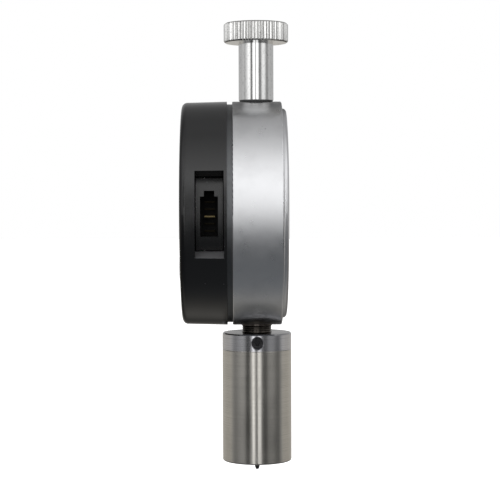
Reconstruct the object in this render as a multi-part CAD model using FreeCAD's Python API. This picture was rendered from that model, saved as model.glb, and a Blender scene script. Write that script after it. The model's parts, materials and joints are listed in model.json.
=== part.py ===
"""Digital Shore A durometer: a round case with a display over a spring-loaded indenter in a presser foot.

Frame: +Z up along the indenter's axis, the display faces -Y, the data socket faces +X.
Origin: the centre of the presser foot's flat measuring face. All sizes are in millimetres.
"""

import FreeCAD
import Part
import math
import os

V = FreeCAD.Vector
X_AXIS = V(1, 0, 0)
Y_AXIS = V(0, 1, 0)
Z_AXIS = V(0, 0, 1)

# Presser foot and clamp collar
FOOT_R = 9.0
FOOT_TOP = 29.1
FOOT_FLOOR = 3.0
FOOT_HOLE_R = 1.5
FOOT_BORE_R = 6.5
FOOT_THREAD_R = 7.2
FOOT_THREAD_DEPTH = 4.9
FOOT_EDGE = 0.35
SEAM_CHAMFER = 0.12
COLLAR_H = 4.4
COLLAR_CHAMFER = 0.3
SPIGOT_GAP = 0.1
SET_SCREW_R = 1.5
SET_SCREW_LENGTH = 3.0
SET_SCREW_SOCKET = 0.87
SET_SCREW_COUNT = 3

# Indenter, with the size, taper and travel that the hardness standard gives
INDENTER_OUT = 2.5
INDENTER_R = 0.625
INDENTER_FLAT_R = 0.395
INDENTER_HALF_ANGLE = math.radians(17.5)
SHANK_R = 1.2
SHANK_TOP = 13.0
PLUNGER_R = 2.5
PLUNGER_TOP = 23.5
FLANGE_R = 5.0
FLANGE_T = 1.5
GUIDE_T = 3.0
WASHER_T = 0.6
ADJUSTER_BOTTOM = 19.5
ADJUSTER_T = 3.0
LOCK_SCREW_Z = 11.0
LOCK_SCREW_R = 0.6

# Case
CASE_R = 29.0
CASE_GAP = 2.0
CASE_FRONT = -6.24
CASE_REAR = 6.46
CASE_BORE_R = 26.0
CASE_FLOOR_T = 2.0
CASE_REAR_EDGE = 0.4
CASE_FRONT_EDGE = 0.25
BACK_OPENING_R = 15.5
BACK_R = 27.2
BACK_T = 1.2
BACK_EDGE = 0.95
RING_T = 1.35
RING_R = 28.3
RING_BORE_R = 25.4

# Stem and spindle
STEM_R = 4.0
STEM_BORE_R = 2.75
STEM_BOTTOM = 27.4
STEM_SPIGOT_R = 3.5
STEM_SPIGOT_H = 7.9
SHOULDER_DEPTH = 0.35
SHOULDER_GAP = 0.6
UPPER_BUSH_R = 3.0
UPPER_BUSH_FROM_TOP = 9.1
UPPER_BUSH_H = 4.0
END_GAP = 0.1
SPINDLE_R = 2.0
SPINDLE_OVER_CASE = 4.0
RUNNING = 0.03
TOUCH = 0.01
GUIDE_PIN_X = 8.3
GUIDE_PIN_R = 0.9
GUIDE_PIN_REACH = 24.3

# Front cover
COVER_DEPTH = 11.6
COVER_DRAFT = 0.3
COVER_EDGE = 1.4
COVER_BORE_R = 26.6
COVER_WALL = 1.6
FACE_R = 25.4
FACE_T = 0.4

# Data recess in the cover's side, and the socket behind it
RECESS_FLOOR_R = 24.66
RECESS_HALF_ANGLE = 21.65
RECESS_Y = -11.86
RECESS_W = 7.1
RECESS_WALL = 0.8
SOCKET_REAR = 15.5
SOCKET_FLOOR = 18.0
CONTACT_COUNT = 5
CONTACT_PITCH = 1.8
CONTACT_T = 0.36
CONTACT_W = 2.6

# Display, buttons and boards
BOARD_Y = -14.6
BOARD_T = 1.0
DISPLAY_W = 35.0
DISPLAY_H = 17.0
DISPLAY_UP = 7.0
DISPLAY_CORNER = 1.5
WINDOW_T = 1.0
PANEL_W = 34.0
PANEL_H = 17.2
STRIP_T = 0.9
BUTTON_X = 12.0
BUTTON_DOWN = 13.0
BUTTON_R = 4.0
BUTTON_GAP = 0.15
BUTTON_PROUD = 0.4
DOME_H = 0.4
SENSOR_Y = -6.1
SENSOR_T = 1.0
SENSOR_HALF = 16.0

# Battery tray
TRAY_Y0 = -13.1
TRAY_Y1 = -8.5
TRAY_BODY_Y0 = -12.3
TRAY_HALF = 11.9
TRAY_INNER = -4.6
TRAY_GAP = 0.15
TRAY_SIDE_GAP = 0.2
CELL_R = 10.0
CELL_X = -15.2

# Screws: the thread's radius, the head's radius and the head's height
COVER_SCREW = (1.0, 1.8, 1.3)
BACK_SCREW = (1.0, 1.85, 0.85)
BOARD_SCREW = (0.8, 1.6, 0.9)
SENSOR_SCREW = (0.8, 1.5, 0.7)
CARRIER_SCREW = (1.0, 1.7, 1.1)
RECESS_SHARE = 0.6
BACK_CIRCLE_R = 22.5
BACK_ANGLES = (30, 150, 210, 330)
COVER_CIRCLE_R = 23.8
COVER_SCREW_SEAT = -3.0
COVER_ANGLES = (60, 120, 240, 300)
LUG_R = 2.5
LUG_HOLE_R = 1.1
BOARD_HOLE_R = 0.9
SENSOR_SCREW_X = 13.5
SENSOR_SCREW_Z = 13.0
BOARD_SCREW_X = 19.0
BOARD_SCREW_DOWN = 15.5
BOARD_SCREW_UP = 23.5

# Handle
HANDLE_R = 4.52
HANDLE_GAP = 0.17
HANDLE_LENGTH = 15.44
HANDLE_BORE_R = 2.6
STUD_R = 2.5
KNOB_WASHER_T = 0.4
KNOB_R = 8.37
KNOB_T = 4.63
KNOB_CHAMFER = 0.45
KNURL_COUNT = 66
KNURL_DEPTH = 0.32

# Places that follow from the sizes above
COLLAR_TOP = FOOT_TOP + COLLAR_H
CASE_BOTTOM = COLLAR_TOP + CASE_GAP
CASE_Z = CASE_BOTTOM + CASE_R
CASE_TOP = CASE_Z + CASE_R
CASE_FLOOR_Y = CASE_REAR - CASE_FLOOR_T
RING_Y = CASE_FRONT - RING_T
FRONT_Y = RING_Y - COVER_DEPTH
BACK_Y = CASE_REAR + BACK_T
HANDLE_BOTTOM = CASE_TOP + HANDLE_GAP
KNOB_BOTTOM = HANDLE_BOTTOM + HANDLE_LENGTH
KNOB_TOP = KNOB_BOTTOM + KNOB_T
WALL_Y = FRONT_Y + COVER_WALL
BOARD_BACK = BOARD_Y + BOARD_T
DISPLAY_Z = CASE_Z + DISPLAY_UP
BUTTON_Z = CASE_Z - BUTTON_DOWN
RECESS_Y0 = RECESS_Y - RECESS_W / 2
RECESS_Y1 = RECESS_Y + RECESS_W / 2
UPPER_BUSH_BOTTOM = CASE_TOP - UPPER_BUSH_FROM_TOP
UPPER_BUSH_TOP = UPPER_BUSH_BOTTOM + UPPER_BUSH_H
PAST = 1.0
FAR = 40.0


def place(name, *solids):
    """Writes one node as a STEP file of its closed solids."""
    shape = solids[0] if len(solids) == 1 else Part.makeCompound(list(solids))
    if not shape.isValid():
        raise RuntimeError(f"{name} is not valid")
    shape.exportStep(f"parts/{name}.step")


def rod_x(r, x0, x1, y, z):
    return Part.makeCylinder(r, x1 - x0, V(x0, y, z), X_AXIS)


def rod_y(r, y0, y1, x=0.0, z=CASE_Z):
    return Part.makeCylinder(r, y1 - y0, V(x, y0, z), Y_AXIS)


def rod_z(r, z0, z1, x=0.0, y=0.0):
    return Part.makeCylinder(r, z1 - z0, V(x, y, z0))


def tube_z(outer, inner, z0, z1):
    return rod_z(outer, z0, z1).cut(rod_z(inner, z0, z1))


def block(x0, x1, y0, y1, z0, z1):
    return Part.makeBox(x1 - x0, y1 - y0, z1 - z0, V(x0, y0, z0))


def case_block(x0, x1, y0, y1, down, up):
    """A block whose lower and upper faces are measured from the case's axis."""
    return block(x0, x1, y0, y1, CASE_Z + down, CASE_Z + up)


def turned_z(points):
    """A solid turned about the Z axis from its (radius, height) outline."""
    wire = Part.makePolygon([V(r, 0, z) for r, z in points + points[:1]])
    return Part.Face(wire).revolve(V(0, 0, 0), Z_AXIS, 360)


def turned_y(points):
    """A solid turned about the case's axis from its (radius, y) outline."""
    wire = Part.makePolygon([V(r, y, CASE_Z) for r, y in points + points[:1]])
    return Part.Face(wire).revolve(V(0, 0, CASE_Z), Y_AXIS, 360)


def circles(shape, r, at, axis="z"):
    """The shape's circular edges of radius r at a place along an axis."""
    near = 1e-3
    found = []
    for edge in shape.Edges:
        curve = edge.Curve
        if isinstance(curve, Part.Circle) and abs(curve.Radius - r) < near:
            if abs(getattr(curve.Center, axis) - at) < near:
                found.append(edge)
    return found


def wedge(half_angle, reach, y0, y1):
    """A triangular prism that opens towards +X from the case's axis."""
    a = math.radians(half_angle)
    x, z = reach * math.cos(a), reach * math.sin(a)
    wire = Part.makePolygon([V(0, y0, CASE_Z), V(x, y0, CASE_Z + z), V(x, y0, CASE_Z - z), V(0, y0, CASE_Z)])
    return Part.Face(wire).extrude(V(0, y1 - y0, 0))


def rounded_plate(w, h, r, y0, y1, z):
    """A plate across the case's axis with rounded corners, centred on x = 0."""
    plate = block(-w / 2, w / 2, y0, y1, z - h / 2, z + h / 2)
    along_y = 0.99
    corners = [e for e in plate.Edges if abs(e.tangentAt(e.FirstParameter).y) > along_y]
    return plate.makeFillet(r, corners)


def coil(mean_r, wire_r, z0, z1, turns):
    """A compression spring that stands between z0 and z1, its wire drawn with six sides."""
    rise = z1 - z0 - 2 * wire_r
    steps_per_turn, sides = 20, 6
    steps = steps_per_turn * turns
    sections = []
    for i in range(steps + 1):
        a = 2 * math.pi * turns * i / steps
        centre = V(mean_r * math.cos(a), mean_r * math.sin(a), z0 + wire_r + rise * i / steps)
        out = V(math.cos(a), math.sin(a), 0)
        corners = []
        for k in range(sides + 1):
            t = 2 * math.pi * k / sides
            corners.append(centre + out * (wire_r * math.cos(t)) + V(0, 0, wire_r * math.sin(t)))
        sections.append(Part.makePolygon(corners))
    return Part.makeLoft(sections, True, True)


def cross_recess(r, depth, at, axis):
    """The cutter of a cross recess in a screw head of radius r whose top faces along axis."""
    reach, width = 1.4 * r, 0.35 * r
    arms = [Part.makeBox(w, h, depth, V(-w / 2, -h / 2, -depth)) for w, h in ((reach, width), (width, reach))]
    cutter = arms[0].fuse(arms[1])
    cutter.Placement = FreeCAD.Placement(at, FreeCAD.Rotation(Z_AXIS, axis))
    return cutter


def pan_screw(size, x, z, tip, seat, facing):
    """A screw along Y whose head stands on seat and faces +Y or -Y, with a cross recess."""
    r, head_r, head_h = size
    top = seat + facing * head_h
    thread = rod_y(r, min(tip, seat), max(tip, seat), x, z)
    head = rod_y(head_r, min(seat, top), max(seat, top), x, z)
    return thread.fuse(head).cut(cross_recess(head_r, RECESS_SHARE * head_h, V(x, top, z), V(0, facing, 0)))


def spots(r, angles):
    """Places on a circle about the case's axis, as (x, z)."""
    return [(r * math.cos(math.radians(a)), CASE_Z + r * math.sin(math.radians(a))) for a in angles]


BACK_SPOTS = spots(BACK_CIRCLE_R, BACK_ANGLES)
COVER_SPOTS = spots(COVER_CIRCLE_R, COVER_ANGLES)
SENSOR_SPOTS = [(sx * SENSOR_SCREW_X, CASE_Z + sz * SENSOR_SCREW_Z) for sx in (-1, 1) for sz in (-1, 1)]
BOARD_SPOTS = [(side * BOARD_SCREW_X, CASE_Z - BOARD_SCREW_DOWN) for side in (-1, 1)]
BOARD_SPOTS.append((0.0, CASE_Z + BOARD_SCREW_UP))


def presser_foot():
    """The barrel whose flat end face is pressed on the specimen."""
    foot = rod_z(FOOT_R, 0, FOOT_TOP)
    foot = foot.makeFillet(FOOT_EDGE, circles(foot, FOOT_R, 0))
    foot = foot.makeChamfer(SEAM_CHAMFER, circles(foot, FOOT_R, FOOT_TOP))
    foot = foot.cut(rod_z(FOOT_HOLE_R, 0, FOOT_FLOOR))
    foot = foot.cut(rod_z(FOOT_BORE_R, FOOT_FLOOR, FOOT_TOP))
    foot = foot.cut(rod_z(FOOT_THREAD_R, FOOT_TOP - FOOT_THREAD_DEPTH, FOOT_TOP))
    place("presser_foot", foot)


def clamp_collar():
    """The collar that joins the foot to the stem, with its three socket set screws."""
    collar = rod_z(FOOT_R, FOOT_TOP, COLLAR_TOP)
    collar = collar.makeChamfer(SEAM_CHAMFER, circles(collar, FOOT_R, FOOT_TOP))
    collar = collar.makeChamfer(COLLAR_CHAMFER, circles(collar, FOOT_R, COLLAR_TOP))
    spigot_bottom = FOOT_TOP - FOOT_THREAD_DEPTH + SPIGOT_GAP
    collar = collar.fuse(rod_z(FOOT_THREAD_R, spigot_bottom, FOOT_TOP))
    collar = collar.cut(rod_z(STEM_R, 0, COLLAR_TOP))
    z = FOOT_TOP + COLLAR_H / 2
    outer_end = STEM_R + SET_SCREW_LENGTH
    mouth_depth, mouth_wider = 0.25, 0.4
    screws = []
    for i in range(SET_SCREW_COUNT):
        hole = rod_x(SET_SCREW_R, STEM_R - PAST, FOOT_R + PAST, 0, z)
        mouth_r = SET_SCREW_R + mouth_wider
        mouth = Part.makeCone(SET_SCREW_R, mouth_r, mouth_wider, V(FOOT_R - mouth_depth, 0, z), X_AXIS)
        corners = []
        for k in range(7):
            a = math.radians(60 * k)
            corners.append(V(outer_end, SET_SCREW_SOCKET * math.cos(a), z + SET_SCREW_SOCKET * math.sin(a)))
        socket = Part.Face(Part.makePolygon(corners)).extrude(V(-SET_SCREW_R, 0, 0))
        screw = rod_x(SET_SCREW_R, STEM_R, outer_end, 0, z).cut(socket)
        for shape in (hole, mouth, screw):
            shape.rotate(V(0, 0, 0), Z_AXIS, 360 * i / SET_SCREW_COUNT)
        collar = collar.cut(hole).cut(mouth)
        screws.append(screw)
    place("clamp_collar", collar.removeSplitter())
    place("collar_screws", *screws)


def indenter_parts():
    """The indenter, the plunger that carries it, and what guides and loads them inside the foot."""
    cone = (INDENTER_R - INDENTER_FLAT_R) / math.tan(INDENTER_HALF_ANGLE)
    tip = -INDENTER_OUT
    shoulder_bottom, shoulder_top = 0.9, 1.3
    place("indenter", turned_z([
        (0, tip), (INDENTER_FLAT_R, tip), (INDENTER_R, tip + cone), (INDENTER_R, shoulder_bottom),
        (SHANK_R, shoulder_top), (SHANK_R, SHANK_TOP), (0, SHANK_TOP),
    ]))

    guide_top = FOOT_FLOOR + GUIDE_T
    washer_top = guide_top + WASHER_T
    washer_r = 0.7 * FOOT_BORE_R
    place("lower_guide", tube_z(FOOT_BORE_R, SHANK_R + RUNNING, FOOT_FLOOR, guide_top))
    place("stop_washer", tube_z(washer_r, SPINDLE_R, guide_top, washer_top))

    flange_bottom = washer_top + TOUCH
    flange_top = flange_bottom + FLANGE_T
    lead = 0.4
    plunger = turned_z([
        (0, flange_bottom), (FLANGE_R, flange_bottom), (FLANGE_R, flange_top), (PLUNGER_R, flange_top),
        (PLUNGER_R, PLUNGER_TOP - lead), (PLUNGER_R - lead, PLUNGER_TOP), (0, PLUNGER_TOP),
    ])
    shank = rod_z(SHANK_R, 0, SHANK_TOP)
    lock_screw = rod_x(LOCK_SCREW_R, 0, PLUNGER_R, 0, LOCK_SCREW_Z)
    place("indenter_plunger", plunger.cut(shank).cut(lock_screw))
    place("indenter_lock_screw", lock_screw.cut(shank))

    wire_r, mean_r, turns = 0.4, 4.1, 7
    place("main_spring", coil(mean_r, wire_r, flange_top + TOUCH, ADJUSTER_BOTTOM - TOUCH, turns))
    adjuster_top = ADJUSTER_BOTTOM + ADJUSTER_T
    adjuster = tube_z(FOOT_BORE_R, PLUNGER_R + RUNNING, ADJUSTER_BOTTOM, adjuster_top)
    key_r, key_depth, key_x = 0.6, 1.2, 0.7 * FOOT_BORE_R
    for side in (-1, 1):
        adjuster = adjuster.cut(rod_z(key_r, adjuster_top - key_depth, adjuster_top, side * key_x))
    place("spring_adjuster", adjuster)


def stem():
    """The stem under the case, with a waist and a fine thread where it shows, and the two bushes."""
    shoulder = CASE_BOTTOM + SHOULDER_DEPTH
    waist = 0.2
    waist_r = STEM_R - waist
    thread_depth = 0.07
    pitch = 0.5
    outline = [(STEM_BORE_R, STEM_BOTTOM), (STEM_R, STEM_BOTTOM), (STEM_R, COLLAR_TOP)]
    crest = COLLAR_TOP + waist
    while crest + pitch < CASE_BOTTOM - waist:
        outline += [(waist_r, crest), (waist_r - thread_depth, crest + pitch / 2)]
        crest += pitch
    outline += [(waist_r, crest), (STEM_R, crest + waist), (STEM_R, shoulder), (STEM_SPIGOT_R, shoulder)]
    spigot_top = CASE_BOTTOM + STEM_SPIGOT_H
    outline += [(STEM_SPIGOT_R, spigot_top), (STEM_BORE_R, spigot_top)]
    place("lower_stem", turned_z(outline))
    place("lower_bush", tube_z(STEM_BORE_R, SPINDLE_R + RUNNING, STEM_BOTTOM, COLLAR_TOP - END_GAP))
    place("upper_bush", tube_z(UPPER_BUSH_R, SPINDLE_R + RUNNING, UPPER_BUSH_BOTTOM, UPPER_BUSH_TOP))


def spindle():
    """The spindle that the plunger lifts, with the carrier and scale that the sensor reads."""
    contact_bottom = PLUNGER_TOP + 2 * TOUCH
    contact_r, dome = SPINDLE_R - 0.1, 0.8
    place("spindle_tip", turned_z([
        (0, contact_bottom), (contact_r - dome, contact_bottom), (contact_r, contact_bottom + dome),
        (contact_r, STEM_BOTTOM), (0, STEM_BOTTOM),
    ]))
    top = CASE_TOP + SPINDLE_OVER_CASE
    lead = 0.4
    shaft = rod_z(SPINDLE_R, STEM_BOTTOM, top)
    place("spindle", shaft.makeChamfer(lead, circles(shaft, SPINDLE_R, top)))

    half_w, half_h, front, back = 6.0, 9.0, -3.9, 3.0
    ear_w, ear_t, ear_h = 4.0, 2.0, 3.0
    slot = GUIDE_PIN_R + RUNNING
    bore = rod_z(SPINDLE_R, 0, CASE_TOP)
    screw_tip = SPINDLE_R - 0.5
    carrier = case_block(-half_w, half_w, front, back, -half_h, half_h)
    carrier = carrier.fuse(case_block(half_w, half_w + ear_w, -ear_t, ear_t, -ear_h, ear_h))
    carrier = carrier.cut(case_block(GUIDE_PIN_X - slot, half_w + ear_w, -slot, slot, -ear_h, ear_h))
    carrier = carrier.cut(bore).cut(rod_y(CARRIER_SCREW[0], screw_tip, back))
    place("scale_carrier", carrier)
    place("carrier_screw", pan_screw(CARRIER_SCREW, 0, CASE_Z, screw_tip, back, 1).cut(bore))
    scale_w, scale_h, scale_t = 5.5, 12.0, 0.9
    place("scale_plate", case_block(-scale_w, scale_w, front - scale_t, front, -scale_h, scale_h))
    wire_r, mean_r, turns = 0.2, 3.0, 7
    place("return_spring", coil(mean_r, wire_r, CASE_Z + half_h + TOUCH, UPPER_BUSH_BOTTOM - TOUCH, turns))
    place("guide_pin", rod_z(GUIDE_PIN_R, CASE_Z - GUIDE_PIN_REACH, CASE_Z + GUIDE_PIN_REACH, GUIDE_PIN_X))


def case_body():
    """The metal case with its inner bosses and the holes for the stem, the handle and the screws."""
    body = rod_y(CASE_R, CASE_FRONT, CASE_REAR)
    body = body.makeFillet(CASE_REAR_EDGE, circles(body, CASE_R, CASE_REAR, "y"))
    body = body.makeFillet(CASE_FRONT_EDGE, circles(body, CASE_R, CASE_FRONT, "y"))
    body = body.cut(rod_y(CASE_BORE_R, CASE_FRONT, CASE_FLOOR_Y))
    body = body.cut(rod_y(BACK_OPENING_R, CASE_FLOOR_Y, CASE_REAR))

    boss_front, wall = -5.0, 2.6
    top_half, bottom_half = 6.5, 5.5
    spigot_top = CASE_BOTTOM + STEM_SPIGOT_H
    top_boss = block(-top_half, top_half, boss_front, CASE_FLOOR_Y, UPPER_BUSH_BOTTOM, CASE_TOP - wall)
    bottom_boss = block(-bottom_half, bottom_half, boss_front, CASE_FLOOR_Y, CASE_BOTTOM + wall, spigot_top)
    body = body.fuse([top_boss, bottom_boss])
    inside = rod_y(CASE_R - 0.5, CASE_FRONT, CASE_REAR)
    for x, z in COVER_SPOTS:
        lug = rod_y(LUG_R, CASE_FRONT, COVER_SCREW_SEAT, x, z).common(inside)
        body = body.fuse(lug).cut(rod_y(LUG_HOLE_R, CASE_FRONT, COVER_SCREW_SEAT, x, z))
    post_r, post_front, post_hole = 2.0, SENSOR_Y + SENSOR_T, 5.0
    for x, z in SENSOR_SPOTS:
        post = rod_y(post_r, post_front, CASE_FLOOR_Y, x, z)
        body = body.fuse(post).cut(rod_y(SENSOR_SCREW[0], post_front, post_front + post_hole, x, z))
    back_lug_r, back_lug_front = 2.2, 1.5
    for x, z in BACK_SPOTS:
        lug = rod_y(back_lug_r, back_lug_front, CASE_FLOOR_Y, x, z)
        body = body.fuse(lug).cut(rod_y(BACK_SCREW[0], back_lug_front, CASE_REAR, x, z))

    below = CASE_BOTTOM - PAST
    body = body.cut(rod_z(STEM_SPIGOT_R, below, spigot_top + END_GAP))
    body = body.cut(rod_z(STEM_R + SHOULDER_GAP, below, CASE_BOTTOM + SHOULDER_DEPTH))
    body = body.cut(rod_z(UPPER_BUSH_R, UPPER_BUSH_BOTTOM - END_GAP, UPPER_BUSH_TOP + END_GAP))
    body = body.cut(rod_z(STEM_R, UPPER_BUSH_TOP, CASE_TOP + PAST))
    body = body.cut(rod_z(GUIDE_PIN_R, CASE_Z - GUIDE_PIN_REACH, CASE_Z + GUIDE_PIN_REACH, GUIDE_PIN_X))
    place("case_body", body.removeSplitter())


def back_cover():
    """The shallow metal cover that closes the back, with its countersunk screws."""
    back = rod_y(BACK_R, CASE_REAR, BACK_Y)
    back = back.makeFillet(BACK_EDGE, circles(back, BACK_R, BACK_Y, "y"))
    spigot, spigot_wall, web = 1.2, 1.4, 0.2
    spigot_r = BACK_OPENING_R - 0.1
    back = back.fuse(rod_y(spigot_r, CASE_REAR - spigot, CASE_REAR))
    back = back.cut(rod_y(spigot_r - spigot_wall, CASE_REAR - spigot, CASE_REAR - web))
    groove_r, groove_w, groove = 20.0, 0.7, 0.25
    ring = rod_y(groove_r, BACK_Y - groove, BACK_Y).cut(rod_y(groove_r - groove_w, BACK_Y - groove, BACK_Y))
    back = back.cut(ring)
    screw_r, head_r, head_h = BACK_SCREW
    sunk, sink_r, recess, tip = 0.05, head_r + 0.15, 0.6, 2.0
    seat = BACK_Y - head_h - sunk
    screws = []
    for x, z in BACK_SPOTS:
        sink = Part.makeCone(screw_r, sink_r, head_h + sunk, V(x, seat, z), Y_AXIS)
        back = back.cut(rod_y(screw_r, CASE_REAR, BACK_Y, x, z)).cut(sink)
        head = Part.makeCone(screw_r, head_r, head_h, V(x, seat, z), Y_AXIS)
        screw = rod_y(screw_r, tip, seat, x, z).fuse(head)
        screws.append(screw.cut(cross_recess(head_r, recess, V(x, BACK_Y - sunk, z), Y_AXIS)))
    place("back_cover", back.removeSplitter())
    place("back_cover_screws", *screws)


def joint_ring():
    """The black ring in the groove between the case and the front cover, and the screws that join them."""
    ring = rod_y(RING_R, RING_Y, CASE_FRONT)
    place("joint_ring", ring.cut(rod_y(RING_BORE_R, RING_Y, CASE_FRONT)))
    tip = -12.0
    place("cover_screws", *[pan_screw(COVER_SCREW, x, z, tip, COVER_SCREW_SEAT, 1) for x, z in COVER_SPOTS])


def cover_outline(shrink=0.0):
    """The front cover's outer form, made smaller all round by shrink."""
    front_r = CASE_R - COVER_DRAFT - shrink
    outline = turned_y([(0, FRONT_Y), (front_r, FRONT_Y), (CASE_R - shrink, RING_Y), (0, RING_Y)])
    return outline.makeFillet(COVER_EDGE, circles(outline, front_r, FRONT_Y, "y"))


def front_cover():
    """The plastic cover that holds the display, the buttons, the data socket and the battery tray."""
    cover = cover_outline().cut(rod_y(COVER_BORE_R, WALL_Y, RING_Y))
    pocket_y0, pocket_r, pocket_half_angle = RECESS_Y0 - 1.1, 27.5, RECESS_HALF_ANGLE + 2.6
    pocket = wedge(pocket_half_angle, FAR, pocket_y0, RING_Y).common(rod_y(pocket_r, pocket_y0, RING_Y))
    pocket = pocket.cut(rod_y(RECESS_FLOOR_R - RECESS_WALL, pocket_y0, RING_Y))
    cover = cover.fuse(pocket)
    post_r, post_hole, lug_hole_y = 2.0, 2.5, -12.5
    for x, z in COVER_SPOTS:
        cover = cover.fuse(rod_y(LUG_R, WALL_Y, RING_Y, x, z))
    for x, z in BOARD_SPOTS:
        cover = cover.fuse(rod_y(post_r, WALL_Y, BOARD_Y, x, z))
    for x, z in COVER_SPOTS:
        cover = cover.cut(rod_y(COVER_SCREW[0], lug_hole_y, RING_Y, x, z))
    for x, z in BOARD_SPOTS:
        cover = cover.cut(rod_y(BOARD_SCREW[0], BOARD_Y - post_hole, BOARD_Y, x, z))

    recess = wedge(RECESS_HALF_ANGLE, FAR, RECESS_Y0, RECESS_Y1)
    cover = cover.cut(recess.cut(rod_y(RECESS_FLOOR_R, RECESS_Y0, RECESS_Y1)))
    socket_half = RECESS_FLOOR_R * math.sin(math.radians(RECESS_HALF_ANGLE)) - RUNNING
    cover = cover.cut(case_block(SOCKET_FLOOR, CASE_BORE_R, RECESS_Y0 + TOUCH, RECESS_Y1 - TOUCH,
                                 -socket_half, socket_half))
    cover = cover.cut(rod_y(FACE_R, FRONT_Y, FRONT_Y + FACE_T))
    ledge, inner_corner = 2.0, 0.8
    cover = cover.cut(rounded_plate(DISPLAY_W, DISPLAY_H, DISPLAY_CORNER, FRONT_Y, FRONT_Y + WINDOW_T, DISPLAY_Z))
    cover = cover.cut(rounded_plate(
        DISPLAY_W - ledge, DISPLAY_H - ledge, inner_corner, FRONT_Y, WALL_Y, DISPLAY_Z))
    for side in (-1, 0, 1):
        cover = cover.cut(rod_y(BUTTON_R + BUTTON_GAP, FRONT_Y, WALL_Y, side * BUTTON_X, BUTTON_Z))
    gap, opening_x = TRAY_GAP - RUNNING, -23.0
    opening = TRAY_HALF + TRAY_SIDE_GAP
    cover = cover.cut(case_block(-CASE_R - PAST, opening_x, TRAY_Y0 - gap, TRAY_Y1 + gap, -opening, opening))
    place("front_cover", cover.removeSplitter())

    face = rod_y(FACE_R - END_GAP, FRONT_Y, FRONT_Y + FACE_T)
    face = face.cut(rounded_plate(DISPLAY_W, DISPLAY_H, DISPLAY_CORNER, FRONT_Y, FRONT_Y + FACE_T, DISPLAY_Z))
    for side in (-1, 0, 1):
        face = face.cut(rod_y(BUTTON_R + BUTTON_GAP, FRONT_Y, FRONT_Y + FACE_T, side * BUTTON_X, BUTTON_Z))
    place("face_plate", face)


def display():
    """The window, the liquid crystal panel, its frame and contact strips, and the board behind them."""
    fit, sunk = 0.1, 0.05
    place("display_window", rounded_plate(
        DISPLAY_W - fit, DISPLAY_H - fit, DISPLAY_CORNER - fit / 2, FRONT_Y + sunk, FRONT_Y + WINDOW_T, DISPLAY_Z))
    glass_front = WALL_Y + sunk
    glass_back = BOARD_Y - STRIP_T
    half_w, half_h = PANEL_W / 2, PANEL_H / 2
    low, high = DISPLAY_Z - half_h, DISPLAY_Z + half_h
    place("display_panel", block(-half_w, half_w, glass_front, glass_back, low, high))
    frame_w, frame_h, frame_corner = PANEL_W + 3.0, PANEL_H + 2.6, 1.2
    frame = rounded_plate(frame_w, frame_h, frame_corner, glass_front, BOARD_Y, DISPLAY_Z)
    place("display_frame", frame.cut(block(-half_w, half_w, glass_front, BOARD_Y, low, high)))
    strip_h, inset = 1.6, 1.0
    place("display_strips", *[
        block(inset - half_w, half_w - inset, glass_back, BOARD_Y, z, z + strip_h)
        for z in (low + fit, high - fit - strip_h)
    ])

    board_gap, notch_gap, notch_half = 0.5, 0.2, 12.0
    clearance_r = LUG_R + 0.3
    board = rod_y(COVER_BORE_R - board_gap, BOARD_Y, BOARD_BACK)
    board = board.cut(case_block(SOCKET_REAR - notch_gap, CASE_R, BOARD_Y, BOARD_BACK, -notch_half, notch_half))
    for x, z in COVER_SPOTS:
        board = board.cut(rod_y(clearance_r, BOARD_Y, BOARD_BACK, x, z))
    for x, z in BOARD_SPOTS:
        board = board.cut(rod_y(BOARD_HOLE_R, BOARD_Y, BOARD_BACK, x, z))
    place("display_board", board)
    tip = BOARD_Y - 2.0
    place("display_board_screws", *[pan_screw(BOARD_SCREW, x, z, tip, BOARD_BACK, 1) for x, z in BOARD_SPOTS])
    # Each chip: its middle in x and from the case's axis in z, its width, height and thickness
    chips = (
        (5.0, 4.0, 9.0, 9.0, 1.4), (5.0, -16.5, 4.0, 5.0, 1.2), (12.6, 3.0, 1.6, 3.2, 1.0),
        (12.6, -3.0, 1.6, 3.2, 1.0), (-3.0, 17.0, 3.2, 1.6, 1.0), (3.0, 17.0, 3.2, 1.6, 1.0),
    )
    place("display_chips", *[
        case_block(x - w / 2, x + w / 2, BOARD_BACK, BOARD_BACK + t, z - h / 2, z + h / 2)
        for x, z, w, h, t in chips
    ])


def sensor():
    """The reading board over the scale, with its screws, its chip and the pins that link the two boards."""
    back = SENSOR_Y + SENSOR_T
    board = case_block(-SENSOR_HALF, SENSOR_HALF, SENSOR_Y, back, -SENSOR_HALF, SENSOR_HALF)
    for x, z in SENSOR_SPOTS:
        board = board.cut(rod_y(BOARD_HOLE_R, SENSOR_Y, back, x, z))
    place("sensor_board", board)
    tip = SENSOR_Y + 4.5
    place("sensor_board_screws", *[pan_screw(SENSOR_SCREW, x, z, tip, SENSOR_Y, -1) for x, z in SENSOR_SPOTS])
    chip_x, chip_z, chip_side, chip_t = 3.0, -4.0, 7.0, 1.2
    place("sensor_chip", case_block(
        chip_x, chip_x + chip_side, SENSOR_Y - chip_t, SENSOR_Y, chip_z, chip_z + chip_side))
    pin_r, pitch, count, first_x, down = 0.3, 2.0, 6, 0.5, 10.5
    place("board_link_pins", *[
        rod_y(pin_r, BOARD_BACK, SENSOR_Y, first_x + pitch * i, CASE_Z - down) for i in range(count)
    ])


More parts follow.
